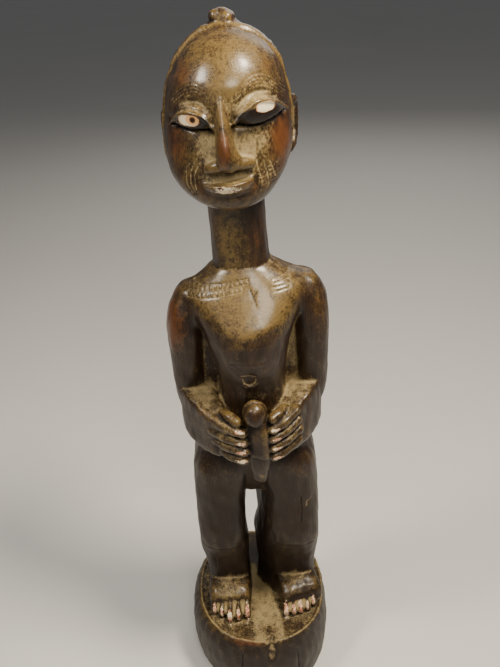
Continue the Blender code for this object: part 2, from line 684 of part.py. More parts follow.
def build():
    for obj in list(bpy.data.objects):
        bpy.data.objects.remove(obj)
    block = bmesh.new()
    carve_base(block)
    carve_feet(block)
    carve_legs(block)
    shaped_column(block, TORSO, lift_the_breast)
    column(block, WEB)
    column(block, NECK)
    carve_arms(block)
    carve_hands(block)
    carve_hanging_form(block)
    carve_navel(block)
    shaped_column(block, HEAD, sink_the_face, raise_the_hair)
    carve_face(block)
    carve_topknot(block)
    mesh = fused(block)
    block.free()
    points = np.empty(len(mesh.vertices) * 3, np.float32)
    mesh.vertices.foreach_get("co", points)
    edges = np.empty(len(mesh.edges) * 2, np.int32)
    mesh.edges.foreach_get("vertices", edges)
    points = round_the_shoulders(points.reshape(-1, 3).astype(float), edges.reshape(-1, 2))
    points = place_on_base(points)
    mesh.vertices.foreach_set("co", (points * MM).astype(np.float32).ravel())
    mesh.materials.append(wood_material())
    mesh.shade_smooth()
    mesh.name = "figure"
    figure = bpy.data.objects.new("figure", mesh)
    bpy.context.scene.collection.objects.link(figure)
    mesh.calc_loop_triangles()
    fewer = figure.modifiers.new("fewer_faces", "DECIMATE")
    fewer.ratio = TRIANGLES / len(mesh.loop_triangles)
    return figure


build()
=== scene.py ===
"""The looks of the standing figure: the same masses as its source, cut finer, then scarred and worn.

Every table of places is in millimetres, in the carver's frame: +Z up, the viewer in front on -Y, the
underside of the base on Z = 0. place_on_base() moves the middle of the base onto the Z axis, and the
materials add the same shift back, so that they use the carver's frame too. "Left" is the viewer's left.
"""

import bmesh
import bpy
import numpy as np
from mathutils import Matrix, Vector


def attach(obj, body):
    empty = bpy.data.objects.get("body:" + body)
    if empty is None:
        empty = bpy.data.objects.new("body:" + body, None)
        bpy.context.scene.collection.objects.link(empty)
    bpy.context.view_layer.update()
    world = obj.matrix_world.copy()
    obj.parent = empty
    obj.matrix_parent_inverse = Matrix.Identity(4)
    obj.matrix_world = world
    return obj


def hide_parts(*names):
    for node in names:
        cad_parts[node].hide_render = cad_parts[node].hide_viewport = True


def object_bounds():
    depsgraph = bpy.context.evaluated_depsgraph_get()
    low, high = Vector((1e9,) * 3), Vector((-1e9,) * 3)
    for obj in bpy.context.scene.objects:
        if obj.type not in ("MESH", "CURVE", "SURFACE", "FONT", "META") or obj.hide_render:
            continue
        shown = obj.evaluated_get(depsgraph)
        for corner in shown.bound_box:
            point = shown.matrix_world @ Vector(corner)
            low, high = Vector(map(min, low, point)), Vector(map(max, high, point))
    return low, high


MM = 0.001

# The fused block: how finely it is cut, how much its edges are eased, and the final number of faces
BLOCK_CUT = 0.6
BLOCK_EASE_STEPS = 3
TRIANGLES = 190000
# How strongly the thinning of the mesh spares the fine cuts, and their weight in it
FINE_CUT_CARE = 0.012
FINE_WEIGHT = 0.9
# The fine cuts lie in these zones: in front of a y, from one z to another
FINE_ZONES = [(-14, 344, 400), (-14, 190, 236), (-14, 280, 300), (-8, 50, 66)]

# Base: an oval drum, its top slightly dished and a little higher on the left
BASE_TOP = 49.0
BASE_TILT = 0.03
BASE_CENTRE_X = 0.6
BASE_CENTRE_Y = 6.0
BASE_HALF_WIDTH = 43.2
BASE_HALF_DEPTH = 49.0
BASE_SQUARENESS = 2.25
BASE_DISH = 1.0
BASE_RIM_WIDTH = 2.4
# height, swell beyond the rim, shift of the middle to the right
BASE_PROFILE = [
    (0, 1.0, -0.6),
    (6, 2.8, -1.4),
    (24, 4.6, -2.0),
    (38, 3.6, -1.8),
    (46, 1.6, -0.8),
    (49, 0.0, 0.0),
]
# The top inside the rim is closed by rings this much smaller each time
BASE_TOP_RING_STEP = 18.0
# Anything lower than this is part of the flat underside
UNDERSIDE_FLAT = 0.45
# Chip out of the front rim: x, half width, height of its lowest point, depth into the drum
RIM_CHIP = (5.4, 3.6, 40.0, 4.0)

# Columns: height, centre x, half width, front y, back y, squareness (2 round, 4 nearly square)
HEAD = [
    (340.5, -0.6, 8.0, -31.0, -8.0, 2.0),
    (342.0, -0.9, 14.0, -34.6, 0.0, 2.0),
    (345.0, -1.5, 19.4, -36.6, 8.0, 2.1),
    (350.0, -2.0, 24.4, -37.0, 16.0, 2.15),
    (357.0, -1.8, 28.4, -35.8, 22.5, 2.15),
    (366.0, -1.2, 29.8, -34.2, 27.0, 2.2),
    (376.0, -0.8, 29.6, -33.8, 30.0, 2.2),
    (386.0, -0.6, 28.6, -34.4, 31.5, 2.15),
    (394.0, -0.4, 26.8, -33.8, 31.0, 2.1),
    (401.0, 0.0, 24.2, -30.8, 28.5, 2.05),
    (407.0, 0.2, 20.3, -26.0, 24.0, 2.0),
    (412.0, 0.0, 14.6, -19.0, 18.0, 2.0),
    (415.2, -0.4, 8.6, -11.0, 10.0, 2.0),
    (416.5, -0.6, 3.0, -4.0, 4.0, 2.0),
]
NECK = [
    (286.0, 1.8, 17.0, -14.0, 17.0, 2.2),
    (298.0, 1.4, 15.8, -13.6, 16.5, 2.5),
    (306.0, 1.1, 15.0, -13.5, 16.0, 2.6),
    (325.0, 0.6, 14.5, -13.0, 15.5, 2.6),
    (345.0, 0.2, 15.0, -14.0, 17.0, 2.3),
    (362.0, 0.0, 16.0, -14.0, 18.0, 2.0),
]
TORSO = [
    (147.0, 1.8, 14.0, -6.0, 14.0, 2.2),
    (158.0, 1.8, 26.0, -12.0, 22.0, 2.3),
    (174.0, 1.8, 36.8, -18.5, 30.0, 2.4),
    (185.0, 1.9, 34.0, -21.5, 29.5, 2.4),
    (200.0, 2.2, 26.0, -25.0, 24.0, 2.3),
    (218.0, 2.8, 20.5, -26.6, 19.0, 2.4),
    (236.0, 3.2, 18.8, -28.6, 17.5, 2.3),
    (250.0, 2.8, 20.4, -32.4, 18.0, 2.2),
    (258.0, 2.6, 22.0, -34.4, 18.5, 2.1),
    (265.0, 2.6, 23.8, -34.6, 19.0, 2.1),
    (270.0, 2.8, 25.6, -34.0, 20.0, 2.1),
    (275.0, 2.8, 28.0, -32.0, 20.0, 2.15),
    (281.0, 2.8, 31.0, -28.0, 19.8, 2.2),
    (288.0, 2.6, 32.2, -23.2, 17.8, 2.3),
    (293.0, 2.2, 28.8, -20.0, 16.0, 2.3),
    (298.0, 1.8, 22.0, -17.0, 13.6, 2.2),
    (302.5, 1.4, 15.6, -13.8, 11.0, 2.1),
    (304.5, 1.4, 11.0, -10.0, 9.0, 2.0),
]
# Breast: the chest stands over the belly along a lower edge that rises to both sides
BREAST_LOWEST = 271.0
BREAST_MIDDLE_X = 3.4
BREAST_RISE = 9.0
BREAST_HALF_WIDTH = 24.0
BREAST_STEP = 0.9
BREAST_FADE = 20.0
# The shoulders rise toward the viewer's right, most at one height
SHOULDER_TILT = 0.06
SHOULDER_TILT_Z = 283.0
SHOULDER_TILT_SPAN = 26.0
# Wood left standing between the arms and the body, set back behind both
WEB = [
    (204.0, 2.4, 24.0, -6.0, 10.0, 3.0),
    (228.0, 2.6, 31.0, -9.5, 12.0, 3.0),
    (258.0, 2.6, 32.0, -10.5, 13.0, 3.0),
    (278.0, 2.6, 33.0, -12.0, 14.0, 3.0),
]

# One limb of each pair; the other is its mirror. Columns: x, y, z, half width, half depth
UPPER_ARM = [
    (30.0, 1.0, 284.0, 9.6, 12.5),
    (33.8, -0.5, 275.0, 10.2, 14.2),
    (34.6, -1.0, 262.0, 10.0, 14.0),
    (34.6, -0.4, 246.0, 9.8, 12.8),
    (34.6, 1.0, 230.0, 9.6, 11.5),
    (33.8, 2.5, 217.0, 9.2, 10.5),
    (31.0, 3.5, 207.0, 7.4, 8.5),
]
ARM_MIDDLE = [(195, 0.6), (230, 2.6), (300, 2.6)]
# Chest, arms and neck run into one rounded shoulder: z where the rounding starts, is full, fades and
# ends, distance from the breast's middle where it starts and is full, and how far it reaches
SHOULDER_BLEND_Z = (268.0, 277.0, 296.0, 302.0)
SHOULDER_BLEND_X = (13.0, 19.0)
SHOULDER_BLEND_REACH = 6.5
# x, y, z, half thickness, half height
FOREARM = [
    (33.8, 4.0, 215.0, 8.0, 14.0),
    (31.0, -7.0, 213.8, 9.0, 15.8),
    (25.5, -17.0, 211.5, 8.4, 16.0),
    (19.5, -25.0, 208.5, 6.6, 14.0),
    (15.0, -29.0, 206.5, 5.0, 12.6),
]
FOREARM_SQUARENESS = 7.0

# Legs: height, distance of the middle from the body line, half width, front y, back y
LEG = [
    (46.0, 22.2, 14.4, -6.0, 20.0),
    (66.0, 22.2, 14.4, -4.0, 19.0),
    (76.0, 22.5, 14.5, -5.0, 19.5),
    (88.0, 23.2, 15.2, -8.5, 22.0),
    (99.0, 23.5, 15.7, -13.5, 24.0),
    (109.0, 24.0, 15.2, -17.0, 21.5),
    (118.0, 23.9, 15.2, -17.5, 18.5),
    (132.0, 23.6, 15.4, -17.5, 20.5),
    (148.0, 22.8, 16.2, -18.5, 25.0),
    (162.0, 20.8, 17.4, -20.0, 28.5),
    (174.0, 18.6, 18.4, -21.0, 29.5),
    (186.0, 14.0, 16.0, -19.0, 26.0),
]
LEG_SQUARENESS = 3.0
LEG_MIDDLE_X = 1.6
# How far the inner side of each leg closes toward the back, by height: the right one much more
LEG_CLOSING = {
    -1: [(46, 0.0), (186, 0.03)],
    1: [(46, 0.66), (76, 0.64), (100, 0.44), (125, 0.36), (186, 0.27)],
}
BUTTOCK_CENTRE = (15.5, 15.5, 172.0)
BUTTOCK_RADII = (17.5, 18.0, 20.0)

# A foot from heel to instep: x outward from the foot's own middle, y, z, half width, half height
FOOT = [
    (-2.0, 20.0, 55.0, 11.5, 8.0),
    (-0.5, 8.0, 57.0, 13.6, 10.0),
    (0.0, -4.0, 57.0, 14.2, 9.6),
    (0.0, -11.0, 56.0, 14.2, 8.4),
    (0.0, -15.0, 52.6, 13.6, 4.6),
]
FOOT_SQUARENESS = 4.0
FOOT_MIDDLE = {-1: -20.9, 1: 25.9}
FOOT_TURN_DEG = {-1: 0.0, 1: 17.0}
# Toes: x and y of each tip, outer toe first on the left foot, big toe first on the right foot
TOES = {
    -1: [(-31.8, -21.7), (-26.9, -24.4), (-21.5, -28.6), (-15.8, -27.6), (-9.9, -25.7)],
    1: [(16.6, -25.6), (21.7, -25.0), (26.4, -23.6), (31.1, -21.8), (35.4, -17.8)],
}
TOE_ROOT = {-1: [(-31.6, -9.0), (-10.0, -11.0)], 1: [(16.4, -11.0), (34.6, -4.0)]}
TOE_HALF_WIDTH = 2.55
TOE_HALF_HEIGHT = 4.2
TOE_DROP = 3.4

# Hands: root and tip of each finger from the top down, as x and z; then the thumb
FINGER_ROOT_Y = -28.5
FINGER_TIP_Y = -36.0
FINGERS = {
    -1: [
        (-19.5, 220.6, -3.6, 215.4),
        (-20.5, 213.8, -3.2, 208.8),
        (-19.0, 206.6, -3.2, 202.4),
        (-16.5, 200.6, -3.8, 196.2),
    ],
    1: [
        (25.5, 223.6, 12.4, 216.8),
        (26.5, 217.0, 12.0, 210.4),
        (27.0, 210.4, 12.2, 204.2),
        (26.6, 204.2, 12.4, 198.0),
    ],
}
FINGER_HALF_HEIGHT = 2.75
FINGER_HALF_DEPTH = 3.4
# The middle of a finger lies behind its tip and sags below the straight line
FINGER_BEND_BACK = 2.4
FINGER_SAG = 0.4
PALM = {
    -1: [
        (-23.0, -22.0, 212.0, 5.0, 12.5),
        (-14.0, -29.0, 209.5, 4.4, 12.0),
        (-6.0, -31.0, 206.5, 3.6, 10.6),
    ],
    1: [
        (29.0, -20.0, 213.0, 5.0, 12.5),
        (21.0, -28.0, 211.0, 4.4, 12.0),
        (14.0, -31.0, 208.0, 3.6, 10.6),
    ],
}
THUMB = {
    -1: [
        (-14.0, -27.0, 223.0, 2.8, 2.6),
        (-10.6, -31.6, 223.4, 3.0, 2.8),
        (-6.6, -34.8, 221.6, 2.9, 2.8),
    ],
    1: [
        (20.0, -27.0, 223.6, 2.8, 2.6),
        (16.8, -31.6, 223.8, 3.0, 2.8),
        (12.8, -34.8, 222.6, 2.9, 2.8),
    ],
}

# Knob between the thumbs, the long form that hangs from it, and its tapering lower end
KNOB_CENTRE = (3.2, -36.0, 226.4)
KNOB_RADII = (5.9, 5.6, 7.3)
KNOB_RING = (6.7, 3.6, 8.0)
KNOB_RING_Y = -33.4
BAR_TURN = (-0.42, -0.91, 0.0)
# x, y, z, half width, half depth
BAR = [
    (4.6, -32.6, 221.0, 6.0, 5.0),
    (4.8, -33.8, 211.0, 6.8, 5.2),
    (5.0, -33.6, 200.5, 6.9, 5.0),
]
BAR_END = [
    (5.6, -29.2, 201.0, 6.4, 5.4),
    (5.0, -28.6, 188.0, 6.0, 5.2),
    (5.0, -26.6, 176.4, 4.2, 4.2),
]

# Navel: a small raised crescent on the belly
NAVEL = (1.8, -30.7, 244.0)
NAVEL_RADIUS = 3.6

# Face. Brow arcs: inner end, peak and outer end as x and z; the sockets are sunk below them
BROW = {
    -1: [(-6.0, 382.0), (-13.6, 391.8), (-27.0, 383.0)],
    1: [(0.2, 383.0), (12.8, 394.0), (27.4, 383.5)],
}
SOCKET_DEPTH = 3.4
SOCKET_EDGE = 2.4
CHEEK_FLOOR_Z = 363.0
# The face is shaped only this far in front of the head's middle
FACE_STARTS = (8.0, 18.0)
# Nose from the brow down: x, y, z, half width, half depth
NOSE = [
    (-3.7, -30.5, 392.0, 2.8, 3.0),
    (-3.3, -33.2, 386.0, 2.9, 3.8),
    (-2.8, -36.2, 377.0, 3.7, 4.6),
    (-2.0, -38.8, 369.5, 4.9, 5.2),
    (-1.0, -38.8, 365.4, 5.8, 5.0),
]
# Below 2, the nose has a ridge down its middle and a flat on each side
NOSE_SQUARENESS = 1.55
# The wings of the nose and the upper lip are one broad bar below it
LIP_BAR = [
    (-10.4, -34.4, 361.4, 3.2, 2.2),
    (-6.4, -36.4, 362.9, 4.0, 2.7),
    (-1.4, -37.0, 363.6, 4.4, 2.7),
    (3.8, -36.4, 364.0, 4.0, 2.8),
    (8.2, -34.4, 363.2, 3.2, 2.3),
]
LOWER_LIP_CENTRE = (-2.2, -33.6, 355.8)
LOWER_LIP_RADII = (11.8, 9.4, 6.9)
LOWER_LIP_TOP = 355.9
LOWER_LIP_SLOPE = 0.1
CHIN_CENTRE = (-1.4, -29.0, 348.0)
CHIN_RADII = (11.0, 8.6, 6.4)
# Eyes: middle (x, setback behind the brow, z), radii, height of the flat cut underneath, its slope
EYES = {
    -1: ((-16.4, 2.9, 382.6), (9.8, 5.2, 6.4), 377.6, 0.0),
    1: ((13.6, 3.1, 384.6), (12.2, 5.6, 7.4), 378.2, 0.08),
}
LID_LINE = {
    -1: [(-25.6, 379.2), (-22.6, 383.4), (-16.8, 385.4), (-11.6, 384.0), (-7.2, 379.2)],
    1: [(2.0, 380.6), (6.4, 385.2), (13.0, 388.8), (19.4, 387.6), (25.6, 382.4)],
}
LID_HALF_WIDTH = 0.9
LID_BULGE = 1.1
LID_HALF_DEPTH = 1.7

# Ears, hair and topknot
EAR = [
    (27.8, -2.0, 379.6),
    (30.4, 2.5, 381.6),
    (31.4, 6.5, 377.0),
    (31.2, 6.5, 368.0),
    (30.0, 2.0, 360.6),
    (27.8, -2.0, 358.6),
]
EAR_HALF_WIDTH = 2.1
EAR_LIFT = {-1: -2.6, 1: 0.8}
HAIR_LINE_Y = -5.5
HAIR_STEP = 1.3
HAIR_EDGE = 0.6
NAPE_Z = (345.0, 352.0)
TOPKNOT_CENTRE = (-0.6, 0.5, 415.0)
TOPKNOT_HEIGHT = 8.2
TOPKNOT_RADIUS = 6.0
TOPKNOT_LOBES = 4
TOPKNOT_LOBE_RADIUS = 3.2
COLLAR = [
    (412.4, 0.2, 11.2, -9.6, 10.6, 2.0),
    (415.6, 0.0, 9.8, -8.6, 9.6, 2.0),
    (418.0, -0.4, 6.0, -5.4, 6.4, 2.0),
]

# A cut that isn't kept to some points has this in their place
EVERYWHERE = slice(None)
# Fine cuts on the front, as lines of x and z on the surface
CHEEK_CUTS = [
    [(-18.7, 363.5), (-20.9, 359.6), (-21.0, 354.0), (-18.3, 348.7)],
    [(-15.8, 365.4), (-18.6, 359.3), (-19.1, 354.7), (-17.3, 349.4)],
    [(-14.2, 363.8), (-16.9, 358.5), (-17.2, 354.9), (-16.3, 350.1)],
    [(11.0, 363.7), (12.2, 357.8), (13.2, 353.6), (12.7, 349.0)],
    [(14.5, 361.6), (15.7, 357.0), (16.2, 352.8), (15.6, 349.1)],
    [(17.1, 362.2), (18.5, 358.0), (19.5, 354.3)],
]
# Short strokes across the right cheek's cuts: left x, right x, lowest z, spacing, number, rise
CHEEK_HATCH = (11.5, 21.5, 351.6, 1.9, 5, 1.1)
CUT_HALF_WIDTH = 0.52
CUT_DEPTH = 0.5
HATCH_DEPTH = 0.28
# The slit carved under each eye, filled with painted shadow
EYE_SLITS = [
    [(-25.2, 378.8), (-16.5, 377.4), (-8.0, 377.6)],
    [(2.0, 379.4), (11.1, 378.2), (25.2, 381.0)],
]
SLIT_HALF_WIDTH = 1.5
SLIT_DEPTH = 1.3
# Brow lines: arcs set this far above the brow's edge, with their depth
BROW_LINES = [(0.8, 0.26), (2.2, 0.2), (3.6, 0.18), (5.0, 0.14)]
BROW_LINE_HALF_WIDTH = 0.5
# The folds of the eyelids, inside the lid line, with some painted shade in them
LID_FOLDS = {
    -1: [(-22.0, 384.9), (-16.8, 387.0), (-11.2, 385.6)],
    1: [(4.0, 385.0), (12.6, 391.2), (21.0, 388.8)],
}
# Scars on the chest: two rows of small squares on the left, two stacked bars on the right
CHEST_ROWS = [((-27.0, 293.4), (4.0, 297.0)), ((-28.2, 290.2), (1.0, 293.8))]
CHEST_SQUARES = 12
CHEST_SQUARE_HALF = 0.8
CHEST_SQUARE_CUT = 0.7
CHEST_ROW_SLOPE = 0.13
CHEST_BARS = [(16.6, 25.6, 295.2), (16.2, 25.2, 291.6)]
CHEST_BAR_HALF = 0.9
CHEST_BAR_CUT = 0.65
SCAR_DEPTH = 0.24
# Cracks in the chest, darkened with painted shade
CHEST_CRACKS = [
    [(4.8, 293.4), (6.2, 289.8), (7.8, 285.8)],
    [(8.4, 292.0), (6.4, 289.6)],
]
# Rows of small level ticks on the belly: lowest z, left x, right x, number
BELLY_TICKS = [(254.4, -9.6, 10.8, 8), (257.6, -9.0, 11.4, 8)]
TICK_HALF_LENGTH = 0.95
TICK_HALF_WIDTH = 0.55
# The line above the navel, the line round it, and the nick on the thigh
BODY_CUTS = [
    [(-2.7, 248.9), (1.2, 249.4), (5.0, 248.5)],
    [(-2.0, 247.0), (-1.4, 244.4), (1.6, 242.9), (4.6, 244.2), (5.0, 246.8)],
    [(34.4, 146.0), (32.4, 145.2), (31.8, 141.0)],
]
# The knee edges, across the front of each leg, with painted shade along them
KNEE_CUTS = [
    [(-36.6, 110.2), (-24.0, 107.4), (-11.5, 106.5)],
    [(11.3, 106.4), (23.0, 105.8), (35.3, 107.1)],
]
# Drying cracks down the legs and the drum, filled with painted shade
DRYING_CRACKS = [
    [(-29.4, 96.0), (-28.6, 88.0), (-29.0, 78.0)],
    [(28.4, 150.0), (28.9, 139.0), (28.2, 128.0)],
    [(-14.0, 40.0), (-14.8, 28.0), (-14.2, 12.0)],
    [(22.0, 36.0), (22.8, 20.0), (22.2, 6.0)],
]
CRACK_HALF_WIDTH = 0.45
CRACK_DEPTH = 0.5
# Combed lines over the hair cap, fine and shallow: how many round the head, and their depth
HAIR_LINES = 64
HAIR_LINE_DEPTH = 0.16
# They turn round this height, start above the nape and stop below the topknot, each over two heights
HAIR_TURN_Z = 380.0
HAIR_NAPE_Z = (350.0, 356.0)
HAIR_CROWN_Z = (411.0, 413.0)
# How far the golden colour reaches from the hair line
HAIR_RIM_REACH = 1.4
# The knife's broad facets: size of a facet and how far it stands off the even form
KNIFE_FACET = 7.0
KNIFE_DEPTH = 0.2
# They are waves: how many, what their sum is divided by, how much they turn upright, their spread of sizes
KNIFE_WAVES = 14
KNIFE_WAVE_SUM = 3.7
KNIFE_UPRIGHT = 0.45
KNIFE_SPREAD = (0.7, 2.0)
KNIFE_SEED = 11
# A worn scar on the drum's front below the chip: x, z, half width, half height, depth
DRUM_SCAR = (5.2, 40.0, 4.4, 7.6, 1.4)
# Grooves between the toes: half width, depth, and how high above the base they start and end
TOE_GROOVE_HALF_WIDTH = 1.1
TOE_GROOVE_DEPTH = 0.4
TOE_GROOVE_TOP = 11.6
TOE_GROOVE_FOOT = 4.0
# How far the skin bends, in millimetres from its even neighbours, for a full hollow, edge or gap
FINE_BEND = 0.12
HOLLOW_BEND = 0.9
EDGE_BEND = 1.1
GAP_BEND = 0.5
# The rubbed rim of the base: its share of the way out and its reach
RIM_SHARE = 0.99
RIM_REACH = 0.014
# The dusty wedge between the feet: its left edge, and its right edge as y and x
WEDGE_LEFT_X = -6.5
WEDGE_RIGHT = [(-27.0, 13.8), (-10.0, 10.8), (3.0, 6.7), (30.0, -6.8)]

# Soft patches: x, y, z of the middle, reach to the side, in depth and in height, strength.
# A strength below 0 takes dust or film away there.
# Dust, with a few patches of painted light on lit faces among it
DUST_AND_LIGHT = [
    (-17.0, -30.0, 388.6, 10.0, 14.0, 5.0, 0.55),
    (13.0, -30.0, 392.4, 13.0, 14.0, 6.0, 0.7),
    (3.0, -32.0, 386.0, 4.0, 14.0, 6.0, 0.5),
    (-11.0, -30.0, 372.0, 7.0, 14.0, 9.0, 0.95),
    (10.0, -30.0, 371.0, 10.5, 14.0, 9.5, 0.95),
    (-1.5, -38.0, 357.4, 10.5, 9.0, 2.0, 0.9),
    (-17.5, -28.0, 356.0, 4.5, 14.0, 7.0, 0.4),
    (16.0, -28.0, 356.0, 5.5, 14.0, 7.0, 0.55),
    (-12.0, -16.0, 293.0, 18.0, 14.0, 7.0, 0.45),
    (20.0, -16.0, 293.0, 11.0, 14.0, 8.0, 0.4),
    (9.0, -24.0, 282.0, 12.0, 12.0, 7.0, 0.3),
    (-21.0, -8.0, 250.0, 3.4, 10.0, 27.0, 0.3),
    (26.5, -8.0, 255.0, 3.2, 10.0, 26.0, 0.55),
    (-25.0, -16.0, 228.0, 13.0, 14.0, 6.0, 0.75),
    (30.0, -16.0, 229.0, 13.0, 14.0, 6.0, 0.6),
    (-14.0, -33.0, 210.0, 9.0, 6.0, 10.0, 0.75),
    (20.0, -33.0, 212.0, 9.0, 6.0, 12.0, 0.85),
    (-10.0, -34.0, 218.8, 9.0, 8.0, 2.6, 0.5),
    (4.0, -28.0, 234.0, 18.0, 8.0, 3.0, 0.45),
    (3.0, -20.0, 49.0, 9.0, 14.0, 4.0, 0.2),
    (-20.0, -26.0, 49.0, 20.0, 12.0, 3.0, 0.12),
    (26.0, -24.0, 49.0, 20.0, 12.0, 3.0, 0.12),
    (-21.0, -11.0, 67.0, 15.0, 9.0, 3.0, 0.6),
    (25.0, -9.0, 67.5, 15.0, 9.0, 3.0, 0.6),
    (-21.0, -15.0, 62.0, 13.0, 7.0, 3.0, 0.6),
    (-30.5, 0.0, 370.0, 4.0, 10.0, 14.0, 0.55),
    (30.5, 0.0, 373.0, 4.0, 10.0, 14.0, 0.55),
    (5.2, -43.0, 39.5, 3.4, 6.0, 7.0, 0.5),
    (4.6, -34.0, 49.0, 4.0, 6.0, 4.0, -0.5),
    # Painted light: the lit right face of the hanging form
    (10.8, -33.0, 211.0, 2.2, 4.0, 9.0, 0.9),
    (5.4, -32.0, 181.0, 2.6, 6.0, 2.8, 1.2),
    # Painted light: the lit inner side of the right leg
    (8.0, -8.0, 118.0, 5.0, 18.0, 30.0, 0.3),
]
# The thin golden film of old oil and dust on the upper faces, partly painted sheen where the light falls,
# with painted highlights among its patches
FILM_AND_SHEEN = [
    (8.0, -30.0, 398.0, 13.0, 22.0, 13.0, 0.55),
    (-2.0, -26.0, 398.0, 26.0, 22.0, 18.0, 0.3),
    (0.0, -32.0, 374.0, 24.0, 14.0, 14.0, 0.35),
    (2.0, -20.0, 291.0, 34.0, 22.0, 12.0, 0.85),
    (12.0, -28.0, 281.0, 15.0, 12.0, 8.0, 0.6),
    # Painted highlight down the front of the neck
    (-4.0, -14.0, 322.0, 8.0, 8.0, 20.0, 0.75),
    # Painted highlight on the belly just below the breast
    (-2.0, -36.0, 274.0, 9.0, 8.0, 7.0, 0.3),
    (2.0, -34.0, 212.0, 32.0, 18.0, 16.0, 0.5),
    # Painted shade: the front of the hanging form kept dark beside its lit right face
    (3.6, -42.0, 206.0, 4.4, 8.0, 13.0, -0.5),
    (3.2, -42.0, 226.0, 5.0, 6.0, 6.0, -0.4),
    (-2.6, -43.0, 371.0, 3.4, 6.0, 9.0, -0.5),
    (0.0, -34.0, 366.0, 24.0, 16.0, 20.0, 0.45),
    (2.0, -20.0, 52.0, 44.0, 30.0, 5.0, 0.35),
    (-21.0, -15.0, 62.0, 14.0, 8.0, 4.0, 0.4),
]
# Places rubbed down to red-brown wood
WORN = [
    (-24.0, -22.0, 371.0, 7.5, 14.0, 10.0, 0.6),
    (23.5, -22.0, 370.0, 8.0, 14.0, 12.0, 0.95),
    (-20.0, -22.0, 400.0, 9.0, 14.0, 7.0, 0.55),
    (18.0, -24.0, 402.0, 10.0, 12.0, 6.0, 0.45),
    (-3.2, -42.0, 372.0, 2.8, 6.0, 10.0, 1.0),
    (8.0, -36.0, 353.0, 6.0, 9.0, 5.0, 0.45),
    (-12.0, -36.0, 353.0, 4.0, 9.0, 5.0, 0.35),
    (-10.0, -14.0, 322.0, 6.0, 9.0, 16.0, 0.35),
    (10.0, -14.0, 318.0, 6.0, 9.0, 14.0, 0.25),
    (-38.0, -6.0, 274.0, 8.0, 14.0, 19.0, 1.0),
    (39.0, -4.0, 270.0, 7.0, 12.0, 14.0, 0.3),
    (-24.0, -24.0, 216.0, 8.0, 12.0, 10.0, 0.25),
    (-11.0, -43.0, 48.5, 14.0, 5.0, 2.4, 0.8),
]
# Worn paint outside the eyes: middle of the patch and its radii
LIP_PAINT = ((-3.4, -42.0, 353.3), (6.8, 6.0, 2.3))
FINGER_NAILS = {
    -1: [(-6.0, 217.3), (-5.2, 209.6), (-5.4, 203.4), (-5.4, 197.2)],
    1: [(14.4, 217.7), (14.8, 211.3), (14.6, 204.8), (14.8, 198.6)],
}
FINGER_NAIL_Y = -38.5
FINGER_NAIL_RADII = (3.8, 4.0, 1.2)
TOE_NAIL_RADII = (1.6, 6.0, 7.4)
TOE_NAIL_RISE = 5.5
# How long and wide each toe's paint is beside the others, from the outer toe inward
TOE_NAIL_SHARES = [0.85, 0.7, 1.1, 0.95, 1.2]
# Eyes on the front, as x and z: the dark ball, the pale patch on it, and the pupil
EYE_PAINT = {
    -1: {
        "ball": ((-15.2, 381.4), (7.8, 3.8)),
        "pale": ((-17.6, 382.1), (5.0, 2.6)),
        "pupil": ((-15.8, 382.6), 2.1),
    },
    1: {"ball": ((12.6, 382.3), (11.4, 4.3)), "pale": ((16.2, 386.2), (4.4, 2.4)), "pupil": None},
}
# How far the rusty halo reaches round the pupil, across and up, as multiples of its radius
HALO_REACH = (1.9, 1.35)
# How far in from the pupil's edge its dark core and its brown ring start, as shares of its radius
PUPIL_CORE = 0.62
PUPIL_RING = 0.3
# The eyes' paint starts over this stretch in front of the head's middle
EYES_IN_FRONT = (22.0, 24.0)
# How square a pale patch is: 2 is an ellipse
PATCH_SQUARENESS = 2.8

# Colours of the wood and what lies on it
DARK_WOOD = (0.0075, 0.0045, 0.0032)
BROWN_WOOD = (0.036, 0.017, 0.008)
RED_WOOD = (0.105, 0.034, 0.009)
# Golden film of oil and dust, also used for painted sheen and highlights
GOLD_FILM_AND_SHEEN = (0.165, 0.108, 0.034)
STREAK_WOOD = (0.062, 0.042, 0.027)
# Colour of the dust, also used for the patches of painted light
DUST_AND_LIGHT_COLOUR = (0.31, 0.235, 0.115)
# Painted shade: near black, put in slits, cracks, folds, knee edges and finger gaps
PAINTED_SHADE = (0.003, 0.002, 0.002)
PALE_PAINT = (0.80, 0.70, 0.49)
RUST_PAINT = (0.42, 0.15, 0.04)
RING_BROWN = (0.10, 0.045, 0.015)
HALO_ORANGE = (0.62, 0.27, 0.06)
EYE_DARK = (0.010, 0.007, 0.006)
NAIL_PINK = (0.62, 0.25, 0.15)
NAIL_RUST = (0.22, 0.07, 0.03)
PUPIL = (0.02, 0.010, 0.008)

# Noises in the wood: repeats per millimetre along x, y and z, detail, roughness, distortion
GRAIN = ((0.5, 0.5, 0.035), 4.0, 0.6, 0.4)
FIBRE = ((2.6, 2.6, 0.11), 3.0, 0.6, 0.2)
BLOTCH = ((0.07, 0.07, 0.045), 3.0, 0.5)
SPECK = ((0.9, 0.9, 0.7), 4.0, 0.65)
MOTTLE = ((0.28, 0.28, 0.22), 3.0, 0.55)
GRIT = ((1.9, 1.9, 1.5), 3.0, 0.7)
# Growth rings: their turn per millimetre from the middle, and how far the grain pushes them about
RING_TURN = 5.2
RING_WANDER = 9.0
# The wood is darker towards the bottom: the brown in it has its least share up to this height and is full one
# span higher
BROWN_FROM_Z = 60.0
BROWN_SPAN = 180.0
BROWN_LEAST = 0.4
# The polish rises from this height up, over this span
POLISH_FROM_Z = 150.0
POLISH_SPAN = 500.0
COAT_ROUGHNESS = 0.24
WOOD_SPECULAR = 0.22
BUMP_STRENGTH = 0.9

# Camera: how the photograph was taken, and the size of its frame in pixels
CAMERA_PLACE = (0.0028, -0.346, 0.4514)
CAMERA_DOWN_DEG = 29.8
CAMERA_ROLL_DEG = -3.5
FOCAL_PIXELS = 700.0
FRAME_LONG_SIDE = 667.0
SENSOR = 36.0
FLOOR_HALF = 14.0
